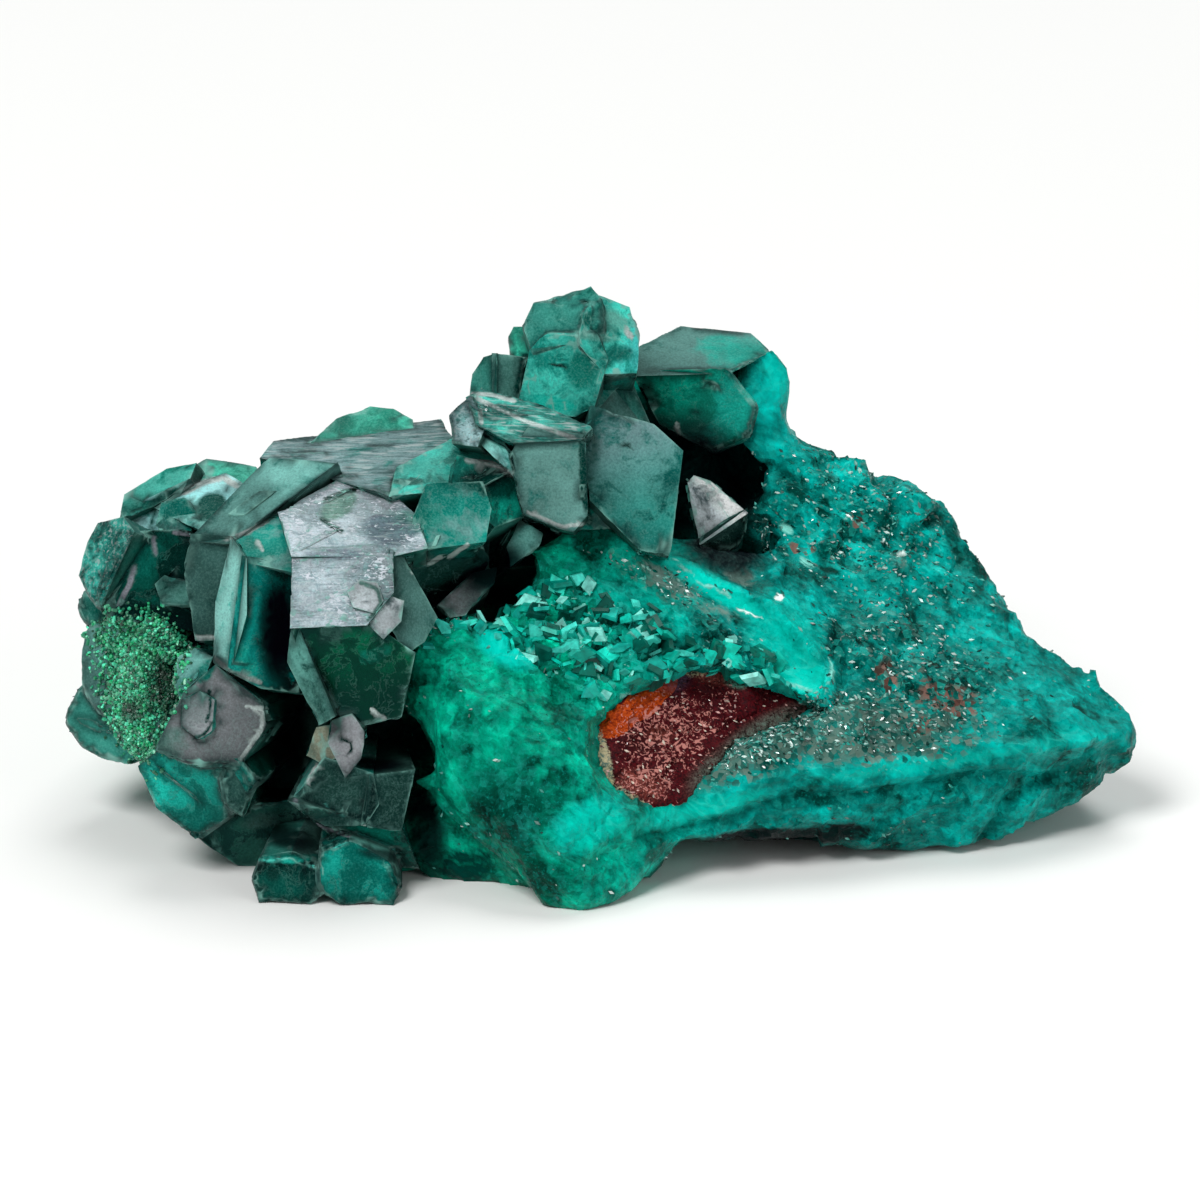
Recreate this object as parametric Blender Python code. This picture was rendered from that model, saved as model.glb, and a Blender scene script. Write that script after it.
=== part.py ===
"""A dioptase specimen: dark green crystals grown on a granular green mass, at its real size.

The specimen is laid out as a viewer sees it who looks down on it by SIGHT_TILT. A place in that
sight frame is (across, up, near) in millimetres: across to the right, up along the picture, and
near towards the viewer. The solids are made in millimetres and turned to metres at the end.
"""

import math
from dataclasses import dataclass, replace

import bmesh
import bpy
from mathutils import Matrix, Vector, noise
from mathutils.geometry import convex_hull_2d

# Driving dimensions
MM = 0.001
SIGHT_TILT = math.radians(20)
FLOOR_LEVEL = -0.12
CLEARANCE = 0.3
EDGE_OVERLAP = 0.12
FAR_REACH = 60.0
FAR_HEART = (0.0, 0.0, -1000.0)

# The granular mass
MASS_VOXEL = 0.55
MASS_TRIANGLES = 4200
LEDGE_SIZE = 3.4
LEDGE_STEP = 0.5
LEDGE_TILT = 0.22
GRAIN_SIZE = 1.3
GRAIN_STEP = 0.22
OXIDE_VOXEL = 0.3
OXIDE_TRIANGLES = 700
OXIDE_GRAIN_SIZE = 0.8
OXIDE_GRAIN_STEP = 0.28
FRONT_FACING = 0.8
SAME_POINT = 0.0001
HEIGHT_PATTERN = 9.1
LEAN_PATTERNS = (5.7, 7.3, 11.9)

# The crystal habit: a six-sided prism under three end faces
PRISM_SIDES = 6
END_FACES = 3
END_SLOPE = math.radians(50)
END_TURN = math.radians(30)


@dataclass
class Face:
    """A flat crystal face by its outline, with the block of crystal behind it.

    near is the depth of its middle, or None where it meets the faces before it in its crystal.
    yaw turns the face to the right and pitch turns it up, in degrees. The block reaches thick
    behind the face, towards the heart that it grew from, and its sides spread by spread degrees.
    """

    corners: tuple
    near: float = None
    yaw: float = 0.0
    pitch: float = 0.0
    thick: float = 5.0
    spread: float = -2.0

    def normal(self):
        yaw = math.radians(self.yaw)
        pitch = math.radians(self.pitch)
        return Vector((math.sin(yaw) * math.cos(pitch), math.sin(pitch), math.cos(yaw) * math.cos(pitch)))

    def middle(self):
        count = len(self.corners)
        return Vector((sum(c[0] for c in self.corners) / count, sum(c[1] for c in self.corners) / count))

    def depth_at(self, across, up):
        """How near the face's plane is to the viewer at a place of the picture."""
        normal = self.normal()
        middle = self.middle()
        return self.near - (normal.x * (across - middle.x) + normal.y * (up - middle.y)) / normal.z


# The crystals of a group grow outwards from one heart, a place (across, up, near) of the sight frame
LEFT_HEART = (-9.5, 9.5, -24.0)
MIDDLE_HEART = (-1.0, 15.0, -24.0)

# The crystals of the cluster, each by the faces that the viewer sees
LEFT_CRYSTALS = {
    "long_bent": (
        Face(((-16.4, 13.4), (-16, 10.7), (-15.2, 10.7), (-14.5, 14.6), (-16.1, 14.7)),
             near=-1.7, yaw=-12, pitch=-15, thick=6),
        Face(((-16.1, 14.6), (-14.6, 14.5), (-12, 16.5), (-10.6, 17.6), (-13.1, 17.8), (-13.7, 17.2)),
             yaw=-20, pitch=40),
    ),
    "twin": (
        Face(((-14, 13.8), (-14, 11.7), (-14.6, 9.5), (-13.4, 8.8), (-12, 8.6), (-12.1, 13.2),
              (-12.6, 13.6)), near=-0.3, yaw=22, pitch=-8, thick=6),
        Face(((-15.2, 9.8), (-14.6, 9.5), (-14, 11.7), (-14, 13.8), (-14.5, 14.5), (-15.1, 12.2)),
             yaw=-42, pitch=0, thick=4),
        Face(((-14.5, 14.6), (-14, 13.8), (-12.6, 13.5), (-12.1, 13.4), (-12.4, 14.8), (-12.6, 15.6)),
             yaw=-5, pitch=45, thick=4),
    ),
    "centre": (
        Face(((-12, 14.1), (-12, 11.2), (-9.2, 11.3), (-8.2, 12.5), (-8.2, 14.1), (-8.8, 14.3)),
             near=1.2, pitch=28),
        Face(((-12.6, 15.6), (-12, 14), (-8.2, 14), (-6.9, 14.3), (-7.2, 15.4), (-8.3, 16.4), (-10.2, 17)),
             yaw=5, pitch=50),
        Face(((-8.2, 14), (-8.2, 11.3), (-7.6, 10.2), (-7, 10.6), (-6.5, 11.5), (-7.8, 13.8)),
             yaw=42, pitch=10, thick=4),
        Face(((-12, 11.2), (-11.7, 9.7), (-10.7, 8.1), (-9.6, 7.3), (-7.9, 7.7), (-7.4, 10.1),
              (-9.2, 11.3)), yaw=4, pitch=-24, thick=6),
        Face(((-12, 11.3), (-12.2, 9.8), (-11, 7.4), (-10.5, 7.7), (-11.6, 9.7)),
             yaw=-35, pitch=-10, thick=3),
    ),
    "chip_upper": (
        Face(((-9.8, 12.5), (-9.4, 12.9), (-8.8, 12.8), (-8.6, 12.2), (-8.9, 11.8), (-9.6, 12)),
             near=1.75, yaw=10, pitch=20, thick=1.6),
    ),
    "chip_lower": (
        Face(((-8.9, 11.6), (-8.4, 12.3), (-7.8, 12.1), (-7.9, 11.4), (-8.5, 10.8), (-8.9, 11.2)),
             near=1.6, yaw=20, pitch=10, thick=1.8),
    ),
    "slab": (
        Face(((-13.4, 17.9), (-10.8, 17.5), (-8.2, 16.4), (-6.2, 17.1), (-5.8, 18.4),
              (-6.4, 19.4), (-13, 18.5)), near=-4.4, yaw=-3, pitch=60),
    ),
    "slab_behind": (
        Face(((-11.3, 18.6), (-8.8, 18.6), (-7.6, 19), (-7.6, 19.4), (-8.3, 19.8), (-9.2, 19.9),
              (-10.5, 19.4)), near=-6.4, yaw=5, pitch=40, thick=3),
    ),
    "rough_knob": (
        Face(((-7.3, 15.4), (-6.8, 14.3), (-4.6, 14.6), (-4.4, 15.8), (-4.7, 16.8), (-6.8, 16.7)),
             near=-1.4, yaw=5, pitch=22),
        Face(((-5.8, 16.9), (-4.6, 16.8), (-4.2, 15.2), (-3.1, 15.6), (-3, 16.8), (-3.5, 17.3),
              (-5.6, 17.8)), near=-2.8, yaw=30),
        Face(((-8, 17.4), (-8.2, 16.4), (-6.8, 16.6), (-4.7, 16.8), (-3.5, 17.4), (-5, 18.4), (-5.8, 18.6)),
             near=-3.0, yaw=5, pitch=48, thick=4),
    ),
    "dark_panel": (
        Face(((-7.8, 13.8), (-6.5, 11.5), (-5.2, 12.5), (-4.5, 13.8), (-4.9, 14.6), (-7.2, 14.3)),
             near=-3.4, yaw=22, pitch=-22, thick=3),
    ),
    "dark_step": (
        Face(((-6.3, 12), (-5.9, 11.6), (-5.4, 11.7), (-4.3, 12.9), (-4.2, 13.4), (-5, 13.2)),
             near=-3.2, pitch=28, thick=3),
    ),
    "gap_chip": (
        Face(((-3.6, 14.3), (-3.5, 13.7), (-2.5, 14.4), (-2.4, 14.8), (-3.1, 15.3)),
             near=-3.8, yaw=-10, pitch=10, thick=3),
    ),
    "far_left_upper": (
        Face(((-19.1, 15.6), (-17.9, 16), (-16.6, 16.8), (-16.3, 17.6), (-17.4, 17.4),
              (-18.4, 16.7), (-19, 16.4)), near=-6.6, yaw=-28, pitch=42),
        Face(((-19.1, 15.7), (-18.9, 14.9), (-17.7, 14.9), (-17.6, 15.9), (-16.7, 16.8), (-17.9, 16.1)),
             yaw=-24, pitch=0, thick=4),
    ),
    "left_crest": (
        Face(((-16.3, 17.5), (-16.2, 16.8), (-14.4, 16.8), (-13.7, 17.2), (-13.9, 17.5),
              (-15, 17.7), (-15.8, 17.8)), near=-7.6, yaw=5, pitch=45, thick=5),
    ),
    "left_ridge": (
        Face(((-17.6, 15.9), (-16.3, 15.6), (-15.8, 15), (-14.6, 16.1), (-14.1, 16.7),
              (-15, 17.2), (-16.6, 16.6)), near=-5.2, yaw=-10, pitch=48, thick=4),
    ),
    "left_small": (
        Face(((-17.6, 15.2), (-17, 14.8), (-16.4, 15), (-16.2, 15.7), (-16.6, 16.2), (-17.4, 16)),
             near=-4.7, pitch=12, thick=3),
    ),
    "left_front": (
        Face(((-20, 12.2), (-19.7, 11.6), (-17.6, 11.3), (-16.1, 11), (-16.1, 14.6),
              (-16.4, 14.9), (-19, 14.8)), near=-4.3, pitch=-6, thick=6),
        Face(((-20.8, 13.2), (-20.5, 12.4), (-20, 11.9), (-18.6, 14.9), (-19, 15.4), (-20, 15.2),
              (-20.4, 14.5)), yaw=-48, pitch=5, thick=4),
    ),
    "left_plate": (
        Face(((-17.6, 12.8), (-17.4, 12.1), (-16.3, 12), (-16.5, 12.9), (-17.3, 13.1)),
             near=-3.8, yaw=-15, pitch=-2, thick=2),
    ),
    "outer_knob": (
        Face(((-21.1, 12), (-20.8, 11.3), (-20.2, 11.2), (-19.8, 12), (-20.1, 12.7), (-20.8, 12.6)),
             near=-7, yaw=-30, thick=4),
    ),
    "left_flank": (
        Face(((-20.6, 11.1), (-20.7, 9.8), (-20.8, 8.6), (-20.2, 7.6), (-18.8, 7.3), (-18.4, 9),
              (-18.7, 11.3)), near=-6.2, yaw=-35, pitch=-5, thick=6),
    ),
    "outer_lobe": (
        Face(((-21.6, 7.2), (-21, 6.3), (-20, 5.8), (-18.9, 5.7), (-18.4, 6.6), (-19.3, 8),
              (-20.8, 8.8), (-21.4, 8)), near=-7.6, yaw=-15, pitch=-8, thick=5),
    ),
    "druse_plate": (
        Face(((-18.3, 10.8), (-17.7, 10.3), (-17.1, 9.9), (-16.9, 10.4), (-17.9, 11.3)),
             near=-3.5, yaw=10, pitch=15, thick=3),
    ),
    "foot": (
        Face(((-17.4, 6.3), (-16, 5.6), (-14.3, 5.7), (-13.2, 7.3), (-13.3, 8), (-15.2, 9.5), (-16.4, 8.4)),
             near=-0.5, yaw=8, pitch=4, thick=9),
        Face(((-16.7, 8.9), (-16.5, 8.4), (-15.9, 8.8), (-15.4, 9.9), (-16, 10.2), (-16.6, 9.9)),
             near=-0.9, yaw=-18, pitch=18, thick=4),
        Face(((-16.4, 7.3), (-15.8, 6.8), (-15.4, 7.1), (-15.3, 8.2), (-15.8, 8.5), (-16.4, 8.2)),
             near=-0.2, yaw=-5, pitch=10, thick=1.2),
        Face(((-18.2, 5.6), (-17.6, 4), (-16, 2.7), (-14.7, 3.6), (-13.6, 5), (-14.2, 5.8), (-17.3, 6.3)),
             near=-1.5, yaw=-14, pitch=-26, thick=7.5),
        Face(((-15, 5.3), (-14.8, 3.9), (-14.2, 3.6), (-13.6, 5), (-14.2, 5.7)),
             near=-0.9, yaw=22, pitch=-6, thick=4),
    ),
    "lower_back": (
        Face(((-16.2, 2.9), (-13.8, 1.3), (-12, 1.6), (-10.2, 2.6), (-10.8, 4.2), (-14.2, 3.9)),
             near=-4.4, pitch=-14, thick=5),
    ),
    "lower_box": (
        Face(((-12, 4.4), (-11.7, 3.9), (-10.8, 3.4), (-9.3, 3.4), (-8.8, 4.2), (-9, 5.3), (-10.8, 5.9)),
             near=0.2, yaw=-12, pitch=-6, thick=9),
        Face(((-9.3, 3.4), (-7.9, 3.2), (-7.4, 5.4), (-9, 5.2)),
             yaw=16, pitch=-8, thick=7),
        Face(((-11.9, 4.1), (-10.2, 2.6), (-8.4, 1.7), (-7.3, 1.6), (-8, 3.2), (-10.8, 3.4)),
             pitch=-48, thick=4),
    ),
    "lower_tooth": (
        Face(((-10.6, 6.6), (-10, 5.4), (-9.5, 6), (-9.3, 7), (-9.8, 7.6), (-10.5, 7.4)),
             near=0.5, yaw=6, pitch=2, thick=9),
        Face(((-11.5, 6.1), (-11, 5.9), (-10.4, 6.1), (-10.5, 7.2), (-11.1, 7.1)),
             near=0.1, yaw=-25, thick=8),
    ),
    "toe_left": (
        Face(((-13.7, 1.1), (-13.4, 0.2), (-12.6, -0.3), (-11.7, 0), (-10.7, 0.8), (-10.8, 1.6),
              (-12.2, 2.1), (-13.4, 1.9)), near=-0.6, yaw=-6, pitch=-12, thick=5),
    ),
    "toe_right": (
        Face(((-11, 0.8), (-10.1, 0.2), (-9, -0.4), (-8.5, -0.3), (-7.9, 0.8), (-8.3, 1.9),
              (-9.9, 2.7), (-11, 2.2)), near=-0.4, yaw=4, pitch=-14),
    ),
}

MIDDLE_CRYSTALS = {
    "summit": (
        Face(((-3, 23.2), (-2.6, 22.1), (-0.8, 22.6), (0.1, 23), (0, 24.1), (-0.4, 24.6),
              (-1.6, 24.2), (-2.6, 24)), near=-3.8, yaw=-8, pitch=12),
        Face(((-0.6, 23.7), (-0.8, 22.4), (0.2, 21.3), (1.4, 21.3), (1.5, 23), (1.1, 23.8), (0, 24.2)),
             yaw=28, pitch=8),
        Face(((-3.2, 20), (-1, 19.6), (-0.3, 20), (0.2, 21.8), (-0.1, 22.7), (-2.1, 22.8), (-2.7, 22.1)),
             near=-3.7, yaw=-6, pitch=-8),
        Face(((-3.6, 22.7), (-3.5, 21.8), (-2.7, 21.8), (-2.6, 23), (-3.4, 23)),
             near=-5.2, yaw=-12, thick=4),
    ),
    "summit_side": (
        Face(((-5.2, 20.1), (-4.2, 20), (-4.2, 21.9), (-4.6, 21.8), (-5, 21.2)),
             near=-4.6, yaw=-30, pitch=2, thick=4),
        Face(((-4.2, 20), (-3.4, 20), (-3.1, 21.8), (-4.2, 21.9)),
             yaw=14, thick=4),
    ),
    "blade": (
        Face(((-3.5, 17.9), (-3, 15.7), (-1.6, 15.1), (-1.1, 15), (-0.6, 15.6), (-0.7, 18.7), (-2.8, 18.9)),
             near=-1.6, yaw=4, pitch=-6),
        Face(((-4.8, 19.2), (-3.4, 18.5), (-0.7, 18.6), (-0.4, 19), (-2.4, 19.9), (-4.7, 20.5),
              (-5.2, 20.2)), yaw=6, pitch=46),
        Face(((-5.9, 19.5), (-5.8, 18.5), (-4.9, 18.4), (-4.6, 19.2), (-5.1, 20.2), (-5.6, 19.8)),
             yaw=-32, pitch=4, thick=4),
        Face(((-4.6, 18.4), (-3.5, 17.3), (-3.4, 17.8), (-4, 18.5), (-4.5, 18.7)),
             near=-2.2, yaw=-10, pitch=20, thick=3),
    ),
    "broad": (
        Face(((-0.6, 18.6), (-0.3, 16.2), (1.6, 14.3), (2.7, 14), (3, 16.6), (3.2, 18.1),
              (2.1, 19.1), (-0.3, 19.8)), near=-3.3, yaw=12, pitch=4, thick=6),
    ),
}

# Hidden roots that the crystals of the cluster share, as corners (across, up, near) of convex lumps
CLUSTER_ROOTS = {
    "left": ((-19.6, 14.2, -8), (-16, 16, -7.4), (-12.5, 17, -6.8), (-6, 17.6, -6.4), (-4.4, 16, -5.6),
             (-4.4, 12.6, -5.6), (-8, 9, -4.6), (-12, 8.6, -4.8), (-16, 8, -5.6), (-19.4, 8.6, -8),
             (-18, 12, -6.6), (-12, 13, -4.2), (-19, 9, -14), (-18.4, 15, -13.4), (-6, 18, -13),
             (-6, 9, -13)),
    "low": ((-19.2, 7.4, -9.4), (-17.2, 5.2, -8), (-14.6, 3.4, -7.4), (-12, 2, -5.6), (-8.4, 1.4, -4.6),
            (-7.6, 4, -6.4), (-8, 8.4, -8), (-12, 9, -8.6), (-16, 9, -7), (-17, 6, -13), (-9, 4.4, -12)),
    "druse": ((-20.2, 10.6, -7.6), (-19.4, 11.4, -6.4), (-18, 11.2, -5), (-16.6, 10.2, -4.6),
              (-16.3, 8.2, -3.9), (-16.6, 6.6, -4), (-18, 5.6, -4.6), (-19.2, 6.4, -5.8),
              (-20.2, 8.2, -6.8), (-18.3, 9, -3.7), (-19.4, 9.6, -10), (-17, 9.6, -10)),
    "middle": ((-5.4, 19.6, -6), (-4.4, 21.2, -6.4), (-2.6, 22.8, -6), (0.6, 22.6, -6), (0.6, 20.6, -5.6),
               (-0.6, 19.2, -4.6), (2.4, 18.4, -6.4), (2.2, 15, -6), (-1, 15, -4), (-4.4, 15.6, -4.6),
               (-5, 18, -12), (1, 21, -11), (2, 15, -12), (-4, 15, -12)),
}

# More prisms of the cluster, on its left side, top and back: tip, direction, width, length and spin,
# with the tip and the direction in world x, y, z
REAR_PRISMS = (
    ((-20.2, 13.5, 8.6), (-0.85, 0.35, 0.4), 5.2, 8, 10),
    ((-17.2, 18, 10.4), (-0.5, 0.7, 0.55), 5, 9, 35),
    ((-14.2, 18.8, 11.4), (-0.2, 0.75, 0.65), 5, 9, 5),
    ((-10.6, 21.8, 11.4), (-0.15, 0.9, 0.5), 6.2, 9, 20),
    ((-7.4, 18.6, 13.2), (0.1, 0.55, 0.85), 5.2, 9, 40),
    ((-16, 20.8, 7), (-0.45, 0.9, 0.2), 4.8, 8, 15),
    ((-19.4, 16.4, 5), (-0.9, 0.45, 0), 4.4, 7, 50),
    ((-3.4, 20.6, 13.4), (-0.1, 0.75, 0.7), 4.6, 8, 25),
    ((-13.2, 23, 6.4), (-0.3, 0.95, 0.25), 4.6, 8, 55),
)

# Smaller prisms that stand out of the mass on its right and far sides, given in the same way
MASS_PRISMS = (
    ((12.4, 20.6, 8.6), (0.45, 0.8, 0.35), 4.2, 7, 20),
    ((8.8, 23.4, 11), (0.25, 0.85, 0.5), 4.6, 7, 45),
    ((4.2, 26.6, 8), (0.1, 1, 0.15), 5, 7, 10),
    ((-2.2, 26.4, 9.8), (-0.1, 0.95, 0.35), 4.4, 7, 30),
    ((10.6, 25.2, 5), (0.45, 0.9, 0), 4, 7, 0),
    ((17.4, 15.6, 3.8), (0.8, 0.6, 0.1), 3.6, 6, 15),
    ((-7.8, 25.4, 5.6), (-0.3, 0.95, 0.1), 4.4, 7, 50),
    ((3, 23.2, 14.4), (0, 0.65, 0.75), 4.2, 6, 25),
    ((15.4, 18.6, 5.6), (0.7, 0.7, 0.2), 3.8, 6, 40),
)

SHOULDER_CRYSTAL = (
    Face(((1.4, 21.3), (5.1, 21.4), (6.8, 22.2), (6.1, 22.9), (3.3, 23.2), (1.4, 22.1)),
         near=-8.9, yaw=4, pitch=58, thick=6),
    Face(((1.4, 21.3), (5.1, 21.4), (6.3, 20), (6, 18.8), (4.6, 18.2), (2.4, 19.4)),
         yaw=-4, pitch=-26, thick=6),
)

CAVITY_CRYSTAL = (
    Face(((3.6, 16.9), (4, 15.9), (4.1, 14.6), (4.9, 15.1), (5.8, 15.7), (4.4, 16.9), (3.8, 17.1)),
         near=-8, yaw=18, pitch=22, thick=4),
    Face(((4.1, 14.6), (4.6, 13.8), (5.6, 14.3), (5.8, 15.7), (4.9, 15.2)),
         yaw=40, pitch=-12, thick=3.4),
)

# The crust of red iron oxide, as a broad piece and its tail
OXIDE_FACES = (
    Face(((-0.1, 7.3), (1, 8.2), (2.9, 9.2), (4.5, 9.4), (5.9, 8.9), (5.6, 6.7), (4, 5.2), (3.2, 4.2),
          (1.6, 4.1), (0.6, 4.8), (-0.1, 6)), near=-2.6, yaw=16, pitch=24, thick=1.5),
    Face(((5.5, 9), (6.8, 8.5), (8.6, 7.9), (7.2, 7.2), (5.4, 6.7)),
         yaw=18, pitch=26, thick=1.3),
)
# How far in front of the crust its recess is cleared
RECESS_DEPTH = 3.0

# The lumps of the granular mass that the viewer sees, as corners (across, up, near)
MASS_LUMPS = {
    "front": ((-7.9, 8.9, -2.6), (-6.8, 10.6, -1.6), (-3.8, 11.5, -2.4), (-1, 10.4, -2.4), (0, 8.2, -1.2),
              (-0.3, 6.4, -0.3), (-1.6, 6.4, 0.6), (-4, 7.4, 0.5), (-6.2, 6.6, -0.2), (0.9, 4.2, -0.4),
              (2.7, 2.9, -1.6), (2.6, 2.1, -1.7), (0.6, -0.1, -0.3), (-0.4, -0.4, -0.1), (-1.8, -0.3, -0.2),
              (-2.8, 1, -0.3), (-6.1, 4.2, -0.9), (-6.8, 6, -1.1), (-1.6, 2.6, 0.9), (-4, 3.4, 0.4),
              (0, 2.2, 0.4), (-6, 4.2, -6), (-6.8, 9.8, -7), (0, 10.6, -8), (3.2, 2.6, -7), (-1.6, 0.6, -5)),
    "upper_slab": ((-3.7, 11.4, -3.2), (-3.2, 12.8, -3.8), (-2.2, 14.3, -4.6), (-0.9, 15, -5.2),
                   (1.6, 14.7, -5.4), (2.7, 14, -5.4), (4, 12.7, -5.2), (2, 10.6, -2.9), (0, 8.6, -1.8),
                   (-1.6, 9.8, -2), (4, 9.5, -2.6), (6.4, 8.9, -3.2), (7.2, 12.2, -5.6), (6, 13.6, -7),
                   (8, 14.4, -8), (8.8, 10.6, -5.4), (8.9, 8.6, -4.2), (8.2, 8, -3.8), (-2.4, 12.2, -9),
                   (1.6, 12.2, -11), (8, 12.2, -11), (8, 8.2, -9)),
    "right_wedge": ((-0.4, 6.4, -1.4), (0.9, 4.2, -1.4), (2.7, 2.8, -1.9), (5.4, 3.6, -2.4), (8, 4.5, -2.8),
                    (12, 5.1, -3.3), (16, 5.9, -4.2), (18.5, 6.9, -5), (21.5, 6.8, -7.6), (21.6, 6.2, -7.9),
                    (19.9, 4.1, -7.6), (18.4, 3.7, -6.8), (16, 3.1, -6.1), (15, 2.2, -6.6), (12, 3, -6.2),
                    (8, 3.2, -5.8), (5.9, 2.7, -6), (4.7, 3.2, -5.6), (8.8, 10.6, -6.6), (17.4, 11, -9.4),
                    (19.6, 9.4, -9.2), (21, 8.1, -8.6), (8.8, 13.8, -8.6), (16, 11.8, -10), (0, 8.6, -2.2),
                    (1.6, 9.4, -2.6), (18.4, 5.8, -14), (12, 8.2, -20), (4, 5, -16)),
    "right_shoulder": ((7.2, 19.2, -9), (8.8, 18.6, -9.8), (10.2, 18, -10), (11.5, 17.4, -10.6),
                       (11.8, 16.9, -10.2), (13.1, 17.1, -11.6), (14, 16.3, -11.6), (14.3, 15.2, -11),
                       (15.6, 13.7, -11.2), (16.3, 12.4, -11), (16.8, 11.1, -10.6), (8.8, 13.8, -8.4),
                       (12, 10.6, -8), (16, 8.2, -8), (6.8, 15.4, -8.6), (7.6, 17.4, -8.6), (12, 13.8, -20),
                       (15.2, 10.6, -20), (8, 17, -20), (7.2, 11.4, -18)),
    "shoulder_lobe": ((5.6, 23.4, -11), (6.9, 22.9, -9.8), (7.6, 21.9, -9.5), (7.6, 20.3, -9.2),
                      (7.3, 19.2, -9), (6.4, 18.6, -8.6), (5.4, 19.4, -8.8), (5.4, 21.3, -9),
                      (6.6, 21.5, -8.3), (5.6, 18.2, -9.6), (4, 19, -11), (4, 21.8, -13), (6.6, 21.8, -13),
                      (7.3, 19, -14)),
    "right_bud": ((11.7, 16.8, -10.2), (12.5, 17, -10.6), (13, 16.9, -10.8), (13.7, 16.1, -10.6),
                  (13.8, 15.7, -10.4), (13.2, 15.4, -9.8), (12.2, 15.7, -9.4), (11.8, 16.2, -9.6),
                  (12.6, 16.2, -14)),
    "underside": ((-8, 2.5, -3.6), (-6, 4.2, -3.4), (-5.2, 2.6, -3.2), (-2.4, 1, -2.2), (-2.1, 0.4, -2.4),
                  (-3.2, 1.2, -3.2), (-6, 1.3, -4.2), (-7.8, 0.8, -3.8), (-8.3, 0.6, -4), (-8, 5, -6),
                  (-3.2, 4.2, -6), (-1.6, 1.8, -8), (-8, 2.2, -10)),
    "cavity_bud": ((4.8, 13.3, -7), (5.4, 12.6, -6.6), (6.1, 12.6, -6.6), (6.5, 13.2, -7), (5.9, 13.8, -7.2),
                   (5.1, 13.8, -7.4), (5.6, 13.2, -6.4), (5.6, 12.8, -9)),
}

# The body of the mass behind the crystals and the cavity
BACK_LUMPS = {
    "crown": ((-1.6, 22, -11), (1.6, 21.6, -12), (4, 22.4, -13), (6.4, 21.6, -14), (7.6, 18, -15),
              (-4, 20, -12), (0, 13.8, -11.5), (4, 13.8, -12.8), (6.4, 13.8, -12.4), (4, 18.2, -13.4),
              (10.2, 15.4, -17), (0, 20, -18), (5.6, 18.6, -18.6), (-4.8, 17, -18), (4, 10, -22),
              (-3.2, 10, -22), (11, 11.6, -20)),
    "behind_left": ((-6.4, 18.4, -11), (-9.6, 19, -11), (-13.2, 17.6, -11), (-16, 16.8, -12),
                    (-18.8, 14.8, -12.5), (-19.8, 10.6, -13), (-19.2, 8, -12.5), (-16, 5, -9.4),
                    (-12, 3, -8), (-8, 2, -6.4), (-5, 3.4, -7), (-5, 14, -10), (-16, 14, -18),
                    (-8, 17, -18.6), (-18, 11.4, -17), (-12, 10.2, -21), (-4.8, 11, -22), (-15, 7.2, -18)),
    "base": ((-13.4, 4.8, -9), (-9, 7.4, -17.6), (6, 8, -19.4), (13.2, 5.7, -13.6), (12, 3.8, -8.6),
             (-8, 3.4, -6), (4, 3.4, -6), (-15, 12, -12), (-10, 14, -18), (6, 15.6, -18.6), (14, 12.4, -14),
             (10, 10, -9), (-6, 10, -9)),
    "bridge": ((-10, 15, -15), (1, 16, -15), (-10, 16.4, -18), (2, 17.4, -18.4), (-10, 9, -21), (2, 10, -22),
               (-9, 8, -18), (2, 8.4, -19), (-4, 12, -22.8)),
}


# Stubs under the mass that it rests on at the back, as world x, y of the middle
HEELS = ((-8.0, 16.0), (6.5, 18.0), (12.6, 10.5))
HEEL_TIP = -1.5
HEEL_WIDTH = 5.0
HEEL_HEIGHT = 6.0
HEEL_SPIN = 25


def clear_scene():
    for old in list(bpy.data.objects):
        bpy.data.objects.remove(old, do_unlink=True)


def to_world(place):
    """A place or direction of the sight frame as world x, y, z, still in millimetres."""
    across, up, near = place
    sine = math.sin(SIGHT_TILT)
    cosine = math.cos(SIGHT_TILT)
    return Vector((across, up * sine - near * cosine, up * cosine + near * sine))


def add_object(name, bm):
    mesh = bpy.data.meshes.new(name)
    bm.to_mesh(mesh)
    bm.free()
    made = bpy.data.objects.new(name, mesh)
    bpy.context.scene.collection.objects.link(made)
    return made


def solid_inside(name, planes, centre):
    """A closed convex solid: a large cube round centre, cut back by each plane in turn."""
    bm = bmesh.new()
    bmesh.ops.create_cube(bm, size=FAR_REACH, matrix=Matrix.Translation(centre))
    for point, normal in planes:
        bmesh.ops.bisect_plane(
            bm,
            geom=bm.verts[:] + bm.edges[:] + bm.faces[:],
            dist=SAME_POINT / 10,
            plane_co=point,
            plane_no=normal,
            clear_outer=True,
        )
        rim = [edge for edge in bm.edges if edge.is_boundary]
        if rim:
            bmesh.ops.edgeloop_fill(bm, edges=rim)
    bmesh.ops.recalc_face_normals(bm, faces=bm.faces)
    return add_object(name, bm)


def hull_solid(name, corners):
    """The convex lump round corners of the sight frame."""
    bm = bmesh.new()
    points = [bm.verts.new(to_world(corner)) for corner in corners]
    hull = bmesh.ops.convex_hull(bm, input=points)
    spare = hull["geom_interior"] + hull["geom_unused"]
    inside = {element for element in spare if isinstance(element, bmesh.types.BMVert)}
    bmesh.ops.delete(bm, geom=list(inside), context="VERTS")
    bmesh.ops.recalc_face_normals(bm, faces=bm.faces)
    return add_object(name, bm)


def place_faces(faces):
    """Gives each face with no depth the one that lets it meet the faces before it."""
    placed = []
    for face in faces:
        if face.near is None:
            face.near = 0.0
            gaps = [
                other.depth_at(*corner) - face.depth_at(*corner)
                for other in placed
                for corner in face.corners
                if min(math.dist(corner, other_corner) for other_corner in other.corners) < CLEARANCE
            ]
            face.near = sum(gaps) / len(gaps)
        placed.append(face)
    return placed


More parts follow.
